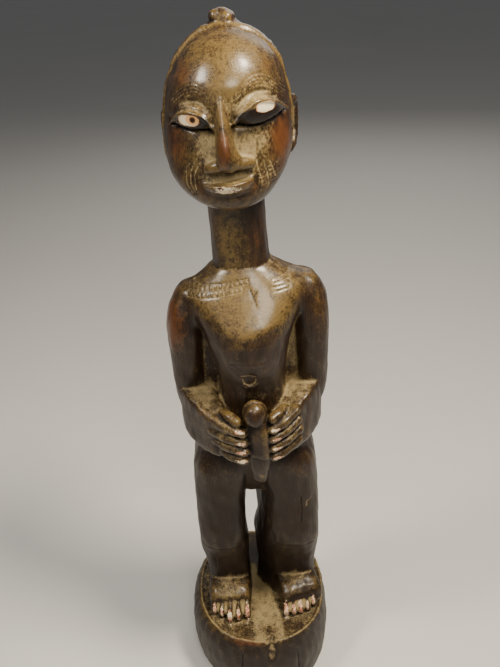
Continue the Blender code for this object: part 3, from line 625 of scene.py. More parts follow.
# Lamps: name, place, what they point at, size, power, colour
LAMPS = [
    ("key", (0.24, -0.14, 0.78), (0.0, 0.0, 0.30), 0.15, 6.6, (1.0, 0.88, 0.70)),
    ("side", (-0.40, -0.18, 0.76), (0.0, 0.0, 0.30), 0.14, 2.8, (1.0, 0.92, 0.80)),
    ("front", (0.08, -0.38, 0.62), (0.0, 0.0, 0.34), 0.14, 1.0, (1.0, 0.92, 0.78)),
    ("fill", (-0.45, -0.85, 0.60), (0.0, 0.0, 0.28), 0.90, 1.0, (1.0, 0.95, 0.88)),
    ("back", (0.3, 1.1, 0.95), (0.0, 0.0, 0.25), 1.0, 3.2, (1.0, 0.96, 0.90)),
]
ROOM_COLOUR = (0.86, 0.87, 0.89, 1.0)
ROOM_LIGHT = 0.12


def smooth_rows(rows, steps):
    """Rows read at finer steps along a curve through them that never swings past a row's own values."""
    rows = np.array(rows, float)
    if len(rows) == 2:
        return rows[0] + np.linspace(0, 1, steps + 1)[:, None] * (rows[1] - rows[0])
    rise = np.diff(rows, axis=0)
    slope = np.zeros_like(rows)
    same_way = rise[:-1] * rise[1:] > 0
    total = np.where(same_way, rise[:-1] + rise[1:], 1.0)
    slope[1:-1] = np.where(same_way, 2 * rise[:-1] * rise[1:] / total, 0.0)
    slope[0], slope[-1] = rise[0], rise[-1]
    out = []
    for i in range(len(rise)):
        for t in np.arange(steps) / steps:
            out.append(
                rows[i] * (2 * t**3 - 3 * t**2 + 1)
                + slope[i] * (t**3 - 2 * t**2 + t)
                + rows[i + 1] * (3 * t**2 - 2 * t**3)
                + slope[i + 1] * (t**3 - t**2)
            )
    return np.array(out + [rows[-1]])


def section(centre, across, deep, squareness, sides):
    """A ring of points round centre, with half axes across and deep."""
    turn = np.linspace(0, 2 * np.pi, sides, endpoint=False)
    power = 2 / squareness
    along = np.sign(np.cos(turn)) * np.abs(np.cos(turn)) ** power
    away = np.sign(np.sin(turn)) * np.abs(np.sin(turn)) ** power
    return np.asarray(centre) + np.outer(along, across) + np.outer(away, deep)


def loft(block, rings):
    """Adds the closed skin over a row of rings, with a point at the middle of each end."""
    verts = [[block.verts.new(p) for p in ring] for ring in rings]
    sides = len(verts[0])
    faces = []
    for low, high in zip(verts, verts[1:]):
        for i in range(sides):
            j = (i + 1) % sides
            faces.append(block.faces.new((low[i], low[j], high[j], high[i])))
    for ring, points in ((verts[0], rings[0]), (verts[-1], rings[-1])):
        middle = block.verts.new(np.mean(points, axis=0))
        for i in range(sides):
            faces.append(block.faces.new((ring[i], ring[(i + 1) % sides], middle)))
    bmesh.ops.recalc_face_normals(block, faces=faces)


def column(block, rows, steps=4, sides=48):
    """A body of level sections: height, centre x, half width, front y, back y, squareness."""
    rings = []
    for height, x, half_width, front, back, squareness in smooth_rows(rows, steps):
        centre = (x, (front + back) / 2, height)
        rings.append(section(centre, (half_width, 0, 0), (0, (back - front) / 2, 0), squareness, sides))
    loft(block, rings)


def sweep(block, rows, up=(0, 0, 1), squareness=2.0, steps=4, sides=20, cap_rings=3):
    """A bar along a path, with rounded ends: x, y, z, half width across, half height along up."""
    rows = smooth_rows(rows, steps)
    path = rows[:, :3]
    along = np.gradient(path, axis=0)
    along /= np.linalg.norm(along, axis=1)[:, None]
    across = np.cross(along, up)
    across /= np.linalg.norm(across, axis=1)[:, None]
    upward = np.cross(across, along)
    rings = []
    for end, way in ((0, -1), (-1, 1)):
        capped = []
        for k in range(1, cap_rings + 1):
            angle = k / (cap_rings + 0.35) * np.pi / 2
            reach = min(rows[end, 3], rows[end, 4]) * np.sin(angle)
            centre = path[end] + way * along[end] * reach
            size = rows[end, 3:5] * np.cos(angle)
            capped.append(section(centre, across[end] * size[0], upward[end] * size[1], squareness, sides))
        rings.append(capped)
    body = [
        section(path[i], across[i] * rows[i, 3], upward[i] * rows[i, 4], squareness, sides)
        for i in range(len(rows))
    ]
    loft(block, rings[0][::-1] + body + rings[1])


def ball(block, centre, radii, subdivisions=4):
    made = bmesh.ops.create_icosphere(block, subdivisions=subdivisions, radius=1.0)
    for vert in made["verts"]:
        vert.co = [c + r * x for c, r, x in zip(centre, radii, vert.co)]
    return made["verts"]


def turned(points, middle, degrees):
    """Points turned about an upright line through middle."""
    angle = np.radians(degrees)
    x, y = points[..., 0] - middle[0], points[..., 1] - middle[1]
    out = np.array(points, float)
    out[..., 0] = middle[0] + x * np.cos(angle) - y * np.sin(angle)
    out[..., 1] = middle[1] + x * np.sin(angle) + y * np.cos(angle)
    return out


def smooth_step(value, low, high):
    t = np.clip((value - low) / (high - low), 0, 1)
    return t * t * (3 - 2 * t)


def brow_height(x, side):
    """Height of the brow arc above each x on one side of the face, and how far x is within it."""
    (x0, z0), (x1, z1), (x2, z2) = BROW[side]
    inward = np.clip((x - x0) / (x1 - x0), 0, 1)
    outward = np.clip((x - x1) / (x2 - x1), 0, 1)
    inner = z0 + (z1 - z0) * np.sin(inward * np.pi / 2)
    outer = z2 + (z1 - z2) * np.cos(outward * np.pi / 2)
    past_peak = (x - x1) * side > 0
    return np.where(past_peak, outer, inner), (x - x0) * side, (x2 - x) * side


def face_front(x, z):
    """How far forward the even column of the head stands at a place on the face."""
    height, middle, half_width, front, back, squareness = smooth_rows(HEAD, 6).T
    share = np.clip(np.abs(x - np.interp(z, height, middle)) / np.interp(z, height, half_width), 0, 0.995)
    power = np.interp(z, height, squareness)
    front, back = np.interp(z, height, front), np.interp(z, height, back)
    return (front + back) / 2 - (back - front) / 2 * (1 - share**power) ** (1 / power)


def sink_the_face(points):
    """Sinks the eye sockets and the cheeks beside the nose below the brow arcs."""
    in_front = smooth_step(-points[:, 1], *FACE_STARTS)
    for side in (-1, 1):
        brow, from_nose, from_temple = brow_height(points[:, 0], side)
        below = smooth_step(brow - points[:, 2], 0, SOCKET_EDGE)
        above_mouth = smooth_step(points[:, 2], CHEEK_FLOOR_Z, BROW[side][1][1] - 8)
        across = smooth_step(from_nose, -1.5, 2.0) * smooth_step(from_temple, -2.0, 2.5)
        points[:, 1] += SOCKET_DEPTH * below * above_mouth * across * in_front
    return points


def raise_the_hair(points):
    """Lifts everything behind the hair line by the thickness of the hair cap."""
    outward = points - np.array([0.0, 0.0, HEAD[6][0]])
    outward /= np.linalg.norm(outward, axis=1)[:, None]
    above_nape = smooth_step(points[:, 2], *NAPE_Z)
    hair = smooth_step(points[:, 1], HAIR_LINE_Y - HAIR_EDGE, HAIR_LINE_Y + HAIR_EDGE) * above_nape
    return points + outward * (HAIR_STEP * hair)[:, None]


def carve_face(block):
    sweep(block, NOSE, up=(0, -1, 0), squareness=NOSE_SQUARENESS)
    sweep(block, LIP_BAR, squareness=2.6)
    for vert in ball(block, LOWER_LIP_CENTRE, LOWER_LIP_RADII):
        from_middle = vert.co[0] - LOWER_LIP_CENTRE[0]
        vert.co[2] = min(vert.co[2], LOWER_LIP_TOP + LOWER_LIP_SLOPE * from_middle)
    ball(block, CHIN_CENTRE, CHIN_RADII)
    for side in (-1, 1):
        (x0, setback, z0), radii, cut, slope = EYES[side]
        for vert in ball(block, (x0, 0, z0), radii):
            x, y, z = vert.co
            vert.co = (x, y + setback + face_front(x, z), max(z, cut + slope * (x - x0)))
        lid_size = (LID_HALF_DEPTH, LID_HALF_WIDTH)
        lid = [(x, face_front(x, z) - LID_BULGE, z, *lid_size) for x, z in LID_LINE[side]]
        sweep(block, lid)
        ear = [(side * x, y, z + EAR_LIFT[side], EAR_HALF_WIDTH, EAR_HALF_WIDTH) for x, y, z in EAR]
        sweep(block, ear, up=(1, 0, 0))


def carve_topknot(block):
    column(block, COLLAR)
    x, y, z = TOPKNOT_CENTRE
    stem = [(x, y, z - 3, TOPKNOT_RADIUS, TOPKNOT_RADIUS), (x, y, z + 2.5, TOPKNOT_RADIUS, TOPKNOT_RADIUS)]
    sweep(block, stem, up=(0, 1, 0))
    reach = TOPKNOT_RADIUS - TOPKNOT_LOBE_RADIUS + 0.6
    for k in range(TOPKNOT_LOBES):
        turn = 2 * np.pi * (k + 0.35) / TOPKNOT_LOBES
        drop = 1.2 * (1 + np.cos(turn)) / 2
        top = z + TOPKNOT_HEIGHT - TOPKNOT_LOBE_RADIUS - drop
        ball(block, (x + reach * np.cos(turn), y + reach * np.sin(turn), top), (TOPKNOT_LOBE_RADIUS,) * 3, 3)


def carve_arms(block):
    heights, middles = np.array(ARM_MIDDLE, float).T
    for side in (-1, 1):
        limbs = []
        for rows in (UPPER_ARM, FOREARM):
            moved = []
            for x, y, z, wide, deep in rows:
                moved.append((side * x + np.interp(z, heights, middles), y, z, wide, deep))
            limbs.append(moved)
        sweep(block, limbs[0], up=(0, 1, 0), squareness=2.5, sides=32)
        sweep(block, limbs[1], squareness=FOREARM_SQUARENESS, sides=40, cap_rings=4)


def carve_hands(block):
    size = (FINGER_HALF_DEPTH, FINGER_HALF_HEIGHT)
    for side in (-1, 1):
        sweep(block, PALM[side], squareness=3.0)
        sweep(block, THUMB[side], squareness=2.3)
        for root_x, root_z, tip_x, tip_z in FINGERS[side]:
            root = (root_x, FINGER_ROOT_Y, root_z)
            tip = (tip_x, FINGER_TIP_Y, tip_z)
            middle_z = (root_z + tip_z) / 2 - FINGER_SAG
            middle = ((root_x + tip_x) / 2, FINGER_TIP_Y + FINGER_BEND_BACK, middle_z)
            sweep(block, [(*root, *size), (*middle, *size), (*tip, *size)], squareness=2.6)


def carve_hanging_form(block):
    ball(block, KNOB_CENTRE, KNOB_RADII)
    ball(block, (KNOB_CENTRE[0], KNOB_RING_Y, KNOB_CENTRE[2] + 0.4), KNOB_RING)
    sweep(block, BAR, up=BAR_TURN, squareness=5.0)
    sweep(block, BAR_END, up=BAR_TURN, squareness=3.5)


def carve_legs(block):
    for side in (-1, 1):
        rings = []
        for height, x, half_width, front, back in smooth_rows(LEG, 4):
            centre = (LEG_MIDDLE_X + side * x, (front + back) / 2, height)
            ring = section(centre, (half_width, 0, 0), (0, (back - front) / 2, 0), LEG_SQUARENESS, 64)
            inner = np.clip(side * (centre[0] - ring[:, 0]) / half_width, 0, 1)
            closing = np.interp(height, *np.array(LEG_CLOSING[side], float).T)
            ring[:, 0] -= side * closing * inner * (ring[:, 1] - front)
            rings.append(ring)
        loft(block, rings)
        x, y, z = BUTTOCK_CENTRE
        ball(block, (LEG_MIDDLE_X + side * x, y, z), BUTTOCK_RADII)


def carve_feet(block):
    for side in (-1, 1):
        middle = FOOT_MIDDLE[side]
        rows = np.array(FOOT)
        rows[:, 0] = middle + side * rows[:, 0]
        rows[:, :3] = turned(rows[:, :3], (middle, -6.0), FOOT_TURN_DEG[side])
        sweep(block, rows, squareness=FOOT_SQUARENESS, sides=40)
        (x0, y0), (x1, y1) = TOE_ROOT[side]
        for k, (tip_x, tip_y) in enumerate(TOES[side]):
            share = k / (len(TOES[side]) - 1)
            floor = BASE_TOP - BASE_TILT * tip_x
            low = floor + TOE_HALF_HEIGHT - 0.9
            root = (x0 + share * (x1 - x0), y0 + share * (y1 - y0), low + TOE_DROP)
            tip = (tip_x, tip_y + TOE_HALF_WIDTH, low)
            size = (TOE_HALF_WIDTH, TOE_HALF_HEIGHT)
            sweep(block, [(*root, *size), (*tip, *size)], squareness=2.4)


def carve_base(block):
    def ring(height, swell, shift):
        across, deep = BASE_HALF_WIDTH + swell, BASE_HALF_DEPTH + swell
        centre = (BASE_CENTRE_X + shift, BASE_CENTRE_Y, height)
        return section(centre, (across, 0, 0), (0, deep, 0), BASE_SQUARENESS, 128)

    rings = [ring(*row) for row in smooth_rows(BASE_PROFILE, 4)]
    for k in range(3):
        rings.append(ring(BASE_TOP - BASE_DISH, -BASE_RIM_WIDTH - k * BASE_TOP_RING_STEP, 0.0))
    for level in rings:
        level[:, 2] -= BASE_TILT * level[:, 0] * smooth_step(level[:, 2], 20.0, BASE_TOP - 4)
    x, half_width, lowest, depth = RIM_CHIP
    front = BASE_CENTRE_Y - BASE_HALF_DEPTH
    for level in rings:
        near = np.clip(1 - np.abs(level[:, 0] - x) / half_width, 0, 1)
        high = smooth_step(level[:, 2], lowest, BASE_TOP - 1)
        on_front = smooth_step(front + 12 - level[:, 1], 0, 8)
        level[:, 1] += depth * near * high * on_front
    loft(block, rings)


def neighbour_mean(values, edges, steps, weight):
    """Each point's values drawn halfway to its neighbours' mean, again and again, by weight."""
    count = len(values)
    tally = np.bincount(edges.ravel(), minlength=count).astype(float)
    for _ in range(steps):
        total = np.empty_like(values)
        for k in range(values.shape[1]):
            data = values[:, k]
            total[:, k] = np.bincount(edges[:, 0], data[edges[:, 1]], count)
            total[:, k] += np.bincount(edges[:, 1], data[edges[:, 0]], count)
        values = values + 0.5 * weight[:, None] * (total / tally[:, None] - values)
    return values


def round_the_shoulders(points, edges):
    """Runs chest, arms and neck into one rounded form between the armpits and the neck."""
    low, full, fading, high = SHOULDER_BLEND_Z
    height = points[:, 2] - SHOULDER_TILT * points[:, 0]
    weight = smooth_step(height, low, full) * (1 - smooth_step(height, fading, high))
    weight *= smooth_step(np.abs(points[:, 0] - BREAST_MIDDLE_X), *SHOULDER_BLEND_X)
    steps = int((SHOULDER_BLEND_REACH / BLOCK_CUT) ** 2)
    return neighbour_mean(points, edges, steps, weight)


def lift_the_breast(points):
    """Brings the chest forward above its curved lower edge, fading out toward the collarbones."""
    from_middle = (points[:, 0] - BREAST_MIDDLE_X) / BREAST_HALF_WIDTH
    above = points[:, 2] - (BREAST_LOWEST + BREAST_RISE * from_middle**2)
    step = smooth_step(above, -1.2, 2.4) * (1 - smooth_step(above, 4.0, BREAST_FADE))
    in_front = smooth_step(-points[:, 1], 6.0, 14.0)
    points[:, 1] -= BREAST_STEP * step * in_front
    return points


def shaped_column(block, rows, *shapers):
    """A column made fine enough to be shaped by the given functions before it joins the block."""
    shell = bmesh.new()
    column(shell, rows, steps=6, sides=160)
    points = np.array([v.co for v in shell.verts])
    for shape in shapers:
        points = shape(points)
    for vert, point in zip(shell.verts, points):
        vert.co = point
    spare = bpy.data.meshes.new("shell")
    shell.to_mesh(spare)
    shell.free()
    block.from_mesh(spare)
    bpy.data.meshes.remove(spare)


def carve_navel(block):
    x, y, z = NAVEL
    turn = np.radians(np.linspace(195, 345, 7))
    rows = [(x + NAVEL_RADIUS * np.cos(t), y, z + 0.7 * NAVEL_RADIUS * np.sin(t), 0.8, 0.7) for t in turn]
    sweep(block, rows, up=(0, 1, 0))


def place_on_base(points):
    """Tilts the shoulders, moves the middle of the underside to the origin and flattens it."""
    near_shoulders = np.exp(-(((points[:, 2] - SHOULDER_TILT_Z) / SHOULDER_TILT_SPAN) ** 2))
    points[:, 2] += SHOULDER_TILT * points[:, 0] * near_shoulders
    points[:, 1] -= BASE_CENTRE_Y
    points[:, 0] -= BASE_CENTRE_X
    points[:, 2] = np.where(points[:, 2] < UNDERSIDE_FLAT, 0.0, points[:, 2])
    return points


def line_distance(x, z, line):
    """Distance on the front from each place to a smooth line through a few points."""
    points = smooth_rows(line, 6)
    nearest = np.full(len(x), 1e9)
    for (x0, z0), (x1, z1) in zip(points, points[1:]):
        along = np.array([x1 - x0, z1 - z0])
        share = ((x - x0) * along[0] + (z - z0) * along[1]) / max(along @ along, 1e-9)
        share = np.clip(share, 0, 1)
        nearest = np.minimum(nearest, np.hypot(x - x0 - share * along[0], z - z0 - share * along[1]))
    return nearest


def stroke(distance, half_width):
    """1 along the middle of a cut, falling smoothly to 0 at its edges."""
    return 1 - smooth_step(distance, 0, half_width)


def cheek_hatch():
    """The short strokes across the right cheek's cuts, lowest first."""
    left, right, low, spacing, count, rise = CHEEK_HATCH
    return [[(left, low + k * spacing), (right, low + k * spacing + rise)] for k in range(count)]


def box_field(x, z, middle, half, slope):
    """1 inside a small upright box, softened over its edge."""
    away = np.maximum(np.abs(x - middle[0]), np.abs(z - middle[1] - slope * (x - middle[0])))
    return 1 - smooth_step(away, half - 0.35, half + 0.35)


def line_cuts(x, y, z, normals, front):
    """Every cut along a line: where it is near, its depth, its dust, and the painted shade put in it."""
    # Lines, half width, depth, lowest and highest z, then dust and painted shade
    for lines, half_width, deep, low, high, dusty, dark in (
        (CHEEK_CUTS, CUT_HALF_WIDTH, CUT_DEPTH, 345, 369, 0.6, 0.0),
        (cheek_hatch(), CUT_HALF_WIDTH * 0.9, HATCH_DEPTH, 345, 369, 0.4, 0.0),
        (list(LID_FOLDS.values()), CUT_HALF_WIDTH, 0.3, 378, 395, 0.4, 0.3),
        (EYE_SLITS, SLIT_HALF_WIDTH, SLIT_DEPTH, 374, 384, 0.0, 1.0),
        (CHEST_CRACKS, 0.5, 0.25, 280, 300, 0.0, 0.8),
        (BODY_CUTS, 0.7, 0.4, 136, 252, 0.7, 0.0),
        (KNEE_CUTS, 1.8, 0.2, 100, 116, 0.0, 0.3),
        (DRYING_CRACKS, CRACK_HALF_WIDTH, CRACK_DEPTH, 0, 156, 0.0, 1.0),
    ):
        near = np.flatnonzero((z > low) & (z < high) & (normals[:, 1] < 0.2) & (y < 0))
        for line in lines:
            open_cut = stroke(line_distance(x[near], z[near], line), half_width)
            yield near, deep * open_cut * front[near], dusty * open_cut, dark * open_cut


def brow_cuts(x, z, front):
    """The arcs above each brow, as line_cuts() gives them."""
    for side in (-1, 1):
        brow, from_nose, from_temple = brow_height(x, side)
        on_brow = smooth_step(from_nose, 0, 2) * smooth_step(from_temple, 0, 2) * front
        on_brow *= (np.abs(z - BROW[side][1][1]) < 16)
        for above, deep in BROW_LINES:
            line = stroke(np.abs(z - brow - above), BROW_LINE_HALF_WIDTH) * on_brow
            yield EVERYWHERE, deep * line, 0.35 * line, 0.0


def chest_scars(x, y, z):
    """The rows of small squares and the two bars on the chest, as line_cuts() gives them."""
    for (x0, z0), (x1, z1) in CHEST_ROWS:
        for k in range(CHEST_SQUARES):
            share = (k + 0.5) / CHEST_SQUARES
            middle = (x0 + share * (x1 - x0), z0 + share * (z1 - z0))
            inner = box_field(x, z, middle, CHEST_SQUARE_HALF, CHEST_ROW_SLOPE)
            outer = box_field(x, z, middle, CHEST_SQUARE_HALF + CHEST_SQUARE_CUT, CHEST_ROW_SLOPE)
            round_it = np.clip(outer - inner, 0, 1) * (y < 0)
            yield EVERYWHERE, SCAR_DEPTH * round_it, 0.36 * round_it, 0.0
    for left, right, height in CHEST_BARS:
        beyond = np.abs(x - (left + right) / 2) - (right - left) / 2 + CHEST_BAR_HALF
        away = np.maximum(beyond, np.abs(z - height))
        ring = stroke(np.abs(away - CHEST_BAR_HALF), CHEST_BAR_CUT) * (y < 0) * (z > 280)
        yield EVERYWHERE, 0.6 * SCAR_DEPTH * ring, 0.4 * ring, 0.0


def belly_ticks(x, y, z, front):
    """The rows of small level ticks on the belly, as line_cuts() gives them."""
    for low, left, right, count in BELLY_TICKS:
        for k in range(count):
            middle = left + (right - left) * (k + 0.5) / count
            away = np.hypot(np.maximum(np.abs(x - middle) - TICK_HALF_LENGTH, 0), z - low)
            tick = stroke(away, TICK_HALF_WIDTH) * front * (y < -8)
            yield EVERYWHERE, 0.2 * tick, 0.22 * tick, 0.0


def cut_depths(points, normals):
    """Depth of every fine cut below the surface, then how much dust and how much painted shade it holds."""
    x, y, z = points.T
    front = smooth_step(-normals[:, 1], 0.05, 0.35)
    fields = np.zeros((3, len(points)))
    for cuts in (
        line_cuts(x, y, z, normals, front),
        brow_cuts(x, z, front),
        chest_scars(x, y, z),
        belly_ticks(x, y, z, front),
    ):
        for where, *amounts in cuts:
            for field, amount in zip(fields, amounts):
                field[where] = np.maximum(field[where], amount)
    return fields


def facet_noise(points):
    """Broad, shallow unevenness left by the knife, from a few fixed waves."""
    rng = np.random.default_rng(KNIFE_SEED)
    total = np.zeros(len(points))
    for _ in range(KNIFE_WAVES):
        way = rng.normal(size=3) * np.array([1.0, 1.0, KNIFE_UPRIGHT])
        size = KNIFE_FACET * rng.uniform(*KNIFE_SPREAD)
        total += np.sin(points @ (way / np.linalg.norm(way)) * (2 * np.pi / size) + rng.uniform(0, 6.28))
    return total / KNIFE_WAVE_SUM


def hair_combing(points):
    """Fine lines combed from the hair line back over the head, only on the hair cap."""
    x, y, z = points.T
    on_hair = smooth_step(y, HAIR_LINE_Y + 1.0, HAIR_LINE_Y + 2.4) * smooth_step(z, *HAIR_NAPE_Z)
    on_hair *= smooth_step(np.hypot(x, y - 1), 12.0, 15.0) * (1 - smooth_step(z, *HAIR_CROWN_Z))
    round_head = np.arctan2(z - HAIR_TURN_Z, x)
    return on_hair * HAIR_LINE_DEPTH * (0.5 + 0.5 * np.cos(round_head * HAIR_LINES))


def toe_grooves(points):
    """1 along the bottom of each groove between neighbouring toes, 0 away from them."""
    closeness = np.zeros(len(points))
    near = np.flatnonzero((points[:, 2] > 46) & (points[:, 2] < 66) & (points[:, 1] < -4))
    for side in (-1, 1):
        ends, tips = np.array(TOE_ROOT[side]), np.array(TOES[side])
        for k in range(len(tips) - 1):
            root = ends[0] + (k + 0.5) / (len(tips) - 1) * (ends[1] - ends[0])
            high = np.array([*root, BASE_TOP + TOE_GROOVE_TOP])
            low = np.array([*(tips[k] + tips[k + 1]) / 2, BASE_TOP + TOE_GROOVE_FOOT])
            along = high - low
            share = np.clip((points[near] - low) @ along / (along @ along), 0, 1)
            away = np.linalg.norm(points[near] - low - share[:, None] * along, axis=1)
            groove = 1 - smooth_step(away, TOE_GROOVE_HALF_WIDTH, 2.4 * TOE_GROOVE_HALF_WIDTH)
            closeness[near] = np.maximum(closeness[near], groove)
    return closeness


def base_top_wear(points):
    """How much of a place is on the dusty wedge between the feet, and on the rubbed rim."""
    x, y, z = points.T
    top = smooth_step(z, BASE_TOP - 4, BASE_TOP - 2.5) * (z < BASE_TOP + 2.5)
    right = np.interp(y, *np.array(WEDGE_RIGHT).T)
    wedge = smooth_step(x, WEDGE_LEFT_X - 1.0, WEDGE_LEFT_X + 1.5)
    wedge *= 1 - smooth_step(x, right - 1.5, right + 1.0)
    across = np.abs((x - BASE_CENTRE_X) / BASE_HALF_WIDTH) ** BASE_SQUARENESS
    deep = np.abs((y - BASE_CENTRE_Y) / BASE_HALF_DEPTH) ** BASE_SQUARENESS
    out = (across + deep) ** (1 / BASE_SQUARENESS)
    rim = np.exp(-(((out - RIM_SHARE) / RIM_REACH) ** 2))
    return wedge * top, rim * top


def drum_scar(points):
    """How deep the worn scar below the chip is at each place."""
    x, y, z = points.T
    middle_x, middle_z, half_width, half_height, deep = DRUM_SCAR
    away = np.hypot((x - middle_x) / half_width, (z - middle_z) / half_height)
    return deep * (1 - smooth_step(away, 0.35, 1.0)) * (y < -30)


def patches(points, rows):
    """The summed strength of soft patches at each point."""
    total = np.zeros(len(points))
    for x, y, z, across, deep, up, strength in rows:
        away = (points - (x, y, z)) / (across, deep, up)
        total += strength * np.exp(-(away**2).sum(axis=1))
    return total


def paint_field(points):
    """Above 0 inside each painted lip and nail, falling through 0 at its edge."""
    spots = [LIP_PAINT]
    for side in (-1, 1):
        spots += [((x, FINGER_NAIL_Y, z), FINGER_NAIL_RADII) for x, z in FINGER_NAILS[side]]
        # Toes are listed from left to right, and both feet are read here from the outer toe inward
        for (x, y), share in zip(TOES[side][::-side], TOE_NAIL_SHARES):
            height = BASE_TOP - BASE_TILT * x + TOE_NAIL_RISE
            spots.append(((x, y + 1.0, height), share * np.array(TOE_NAIL_RADII)))
    field = np.full(len(points), -1.0)
    for middle, radii in spots:
        away = np.sqrt((((points - middle) / radii) ** 2).sum(axis=1))
        field = np.maximum(field, 1 - away)
    return field


def arrays_of(mesh):
    points = np.empty(len(mesh.vertices) * 3, np.float32)
    mesh.vertices.foreach_get("co", points)
    normals = np.empty(len(mesh.vertices) * 3, np.float32)
    mesh.vertex_normals.foreach_get("vector", normals)
    return points.reshape(-1, 3).astype(float), normals.reshape(-1, 3).astype(float)


def edges_of(mesh):
    edges = np.empty(len(mesh.edges) * 2, np.int32)
    mesh.edges.foreach_get("vertices", edges)
    return edges.reshape(-1, 2)


def write_points(mesh, points):
    mesh.vertices.foreach_set("co", points.astype(np.float32).ravel())
    mesh.update()


def modified(mesh, *changes):
    """The mesh after modifiers, each given as its kind and its settings."""
    holder = bpy.data.objects.new("holder", mesh)
    bpy.context.scene.collection.objects.link(holder)
    for kind, settings in changes:
        modifier = holder.modifiers.new(kind.lower(), kind)
        for name, value in settings.items():
            setattr(modifier, name, value)
    if "fine" in mesh.attributes:
        fine = np.empty(len(mesh.vertices), np.float32)
        mesh.attributes["fine"].data.foreach_get("value", fine)
        group = holder.vertex_groups.new(name="fine")
        group.add(np.flatnonzero(fine > 0.5).tolist(), FINE_WEIGHT, "REPLACE")
    graph = bpy.context.evaluated_depsgraph_get()
    done = bpy.data.meshes.new_from_object(holder.evaluated_get(graph))
    bpy.data.objects.remove(holder)
    return done


def masses():
    block = bmesh.new()
    carve_base(block)
    carve_feet(block)
    carve_legs(block)
    shaped_column(block, TORSO, lift_the_breast)
    column(block, WEB)
    column(block, NECK)
    carve_arms(block)
    carve_hands(block)
    carve_hanging_form(block)
    carve_navel(block)
    shaped_column(block, HEAD, sink_the_face, raise_the_hair)
    carve_face(block)
    carve_topknot(block)
    mesh = bpy.data.meshes.new("masses")
    block.to_mesh(mesh)
    block.free()
    return mesh


def carved_mesh():
    """The fused masses with every fine cut, thinned where nothing fine was cut."""
    skin = ("REMESH", {"mode": "VOXEL", "voxel_size": BLOCK_CUT})
    ease = ("SMOOTH", {"factor": 0.5, "iterations": BLOCK_EASE_STEPS})
    mesh = modified(masses(), skin, ease)
    points, _ = arrays_of(mesh)
    write_points(mesh, round_the_shoulders(points, edges_of(mesh)))
    points, normals = arrays_of(mesh)
    on_face = smooth_step(-points[:, 1], 12, 20) * smooth_step(points[:, 2], 338, 346)
    on_base_top = smooth_step(normals[:, 2], 0.8, 0.95) * (points[:, 2] < BASE_TOP + 2)
    on_chest = smooth_step(-points[:, 1], 8, 14) * smooth_step(points[:, 2], 262, 270)
    unevenness = facet_noise(points) * KNIFE_DEPTH * (1 - 0.75 * np.maximum(on_face, on_chest))
    unevenness *= 1 - 0.8 * on_base_top
    depth = cut_depths(points, normals)[0] + hair_combing(points) + drum_scar(points) + unevenness
    depth += TOE_GROOVE_DEPTH * toe_grooves(points)
    points -= normals * depth[:, None]
    _, y, z = points.T
    fine = np.zeros(len(points), bool)
    for in_front_of, low, high in FINE_ZONES:
        fine |= (y < in_front_of) & (z > low) & (z < high)
    write_points(mesh, points)
    mesh.attributes.new("fine", "FLOAT", "POINT").data.foreach_set("value", fine.astype(np.float32))
    mesh.calc_loop_triangles()
    share = TRIANGLES / len(mesh.loop_triangles)
    return modified(
        mesh,
        ("DECIMATE", {
            "ratio": share,
            "vertex_group": "fine",
            "vertex_group_factor": FINE_CUT_CARE,
            "use_collapse_triangulate": True,
        }),
    )


def mark(mesh, name, values):
    attribute = mesh.attributes.new(name, "FLOAT", "POINT")
    attribute.data.foreach_set("value", np.asarray(values, np.float32))


def mark_surface(mesh):
    """Writes what the material reads: edges, dust with patches of painted light, golden oil with painted
    sheen, wear, cuts, painted shade and paint.
    """
    points, normals = arrays_of(mesh)
    edges, everywhere = edges_of(mesh), np.ones(len(points))
    near = neighbour_mean(points, edges, 4, everywhere)
    wide = neighbour_mean(near, edges, 40, everywhere)
    fine_bend = ((near - points) * normals).sum(axis=1)
    broad_bend = ((wide - points) * normals).sum(axis=1)
    hollow = np.clip(broad_bend / HOLLOW_BEND, 0, 1) + np.clip(fine_bend / FINE_BEND, 0, 1) * 0.5
    edge = np.clip(-broad_bend / EDGE_BEND, 0, 1) * 0.7 + np.clip(-fine_bend / FINE_BEND, 0, 1) * 0.4
    facing_up = smooth_step(normals[:, 2], 0.35, 0.95)
    in_hands = smooth_step(-points[:, 1], 25, 30) * smooth_step(points[:, 2], 186, 192)
    in_hands *= 1 - smooth_step(points[:, 2], 222, 228)
    # Painted shade in the gaps between the fingers, with their dust taken out
    gaps = np.clip(broad_bend / GAP_BEND, 0, 1) * in_hands
    wedge, rim = base_top_wear(points)
    # Dust, plus a few patches of painted light on lit faces
    dust_and_light = patches(points, DUST_AND_LIGHT) + 0.45 * np.clip(hollow, 0, 1) + 0.2 * facing_up
    dust_and_light += 0.5 * wedge + 0.9 * toe_grooves(points) + 1.0 * rim - 0.9 * gaps
    # Golden film, partly painted sheen: more on upper faces and along edges, where the light catches
    film_and_sheen = patches(points, FILM_AND_SHEEN) + 0.25 * facing_up + 0.3 * np.clip(edge, 0, 1)
    hair_rim = np.exp(-(((points[:, 1] - HAIR_LINE_Y) / HAIR_RIM_REACH) ** 2)) * (points[:, 2] > NAPE_Z[1])
    film_and_sheen += 0.6 * hair_rim
    mark(mesh, "edge", np.clip(edge, 0, 1))
    mark(mesh, "dust_and_light", np.clip(dust_and_light, -0.5, 1.2))
    mark(mesh, "worn", np.clip(patches(points, WORN), 0, 1))
    mark(mesh, "film_and_sheen", np.clip(film_and_sheen, 0, 1))
    # Painted shade: the slits, cracks, folds, knee edges and the gaps between the fingers
    _, cut, shade = cut_depths(points, normals)
    mark(mesh, "cut", cut)
    mark(mesh, "shade", np.maximum(shade, 0.75 * gaps))
    mark(mesh, "paint", paint_field(points))


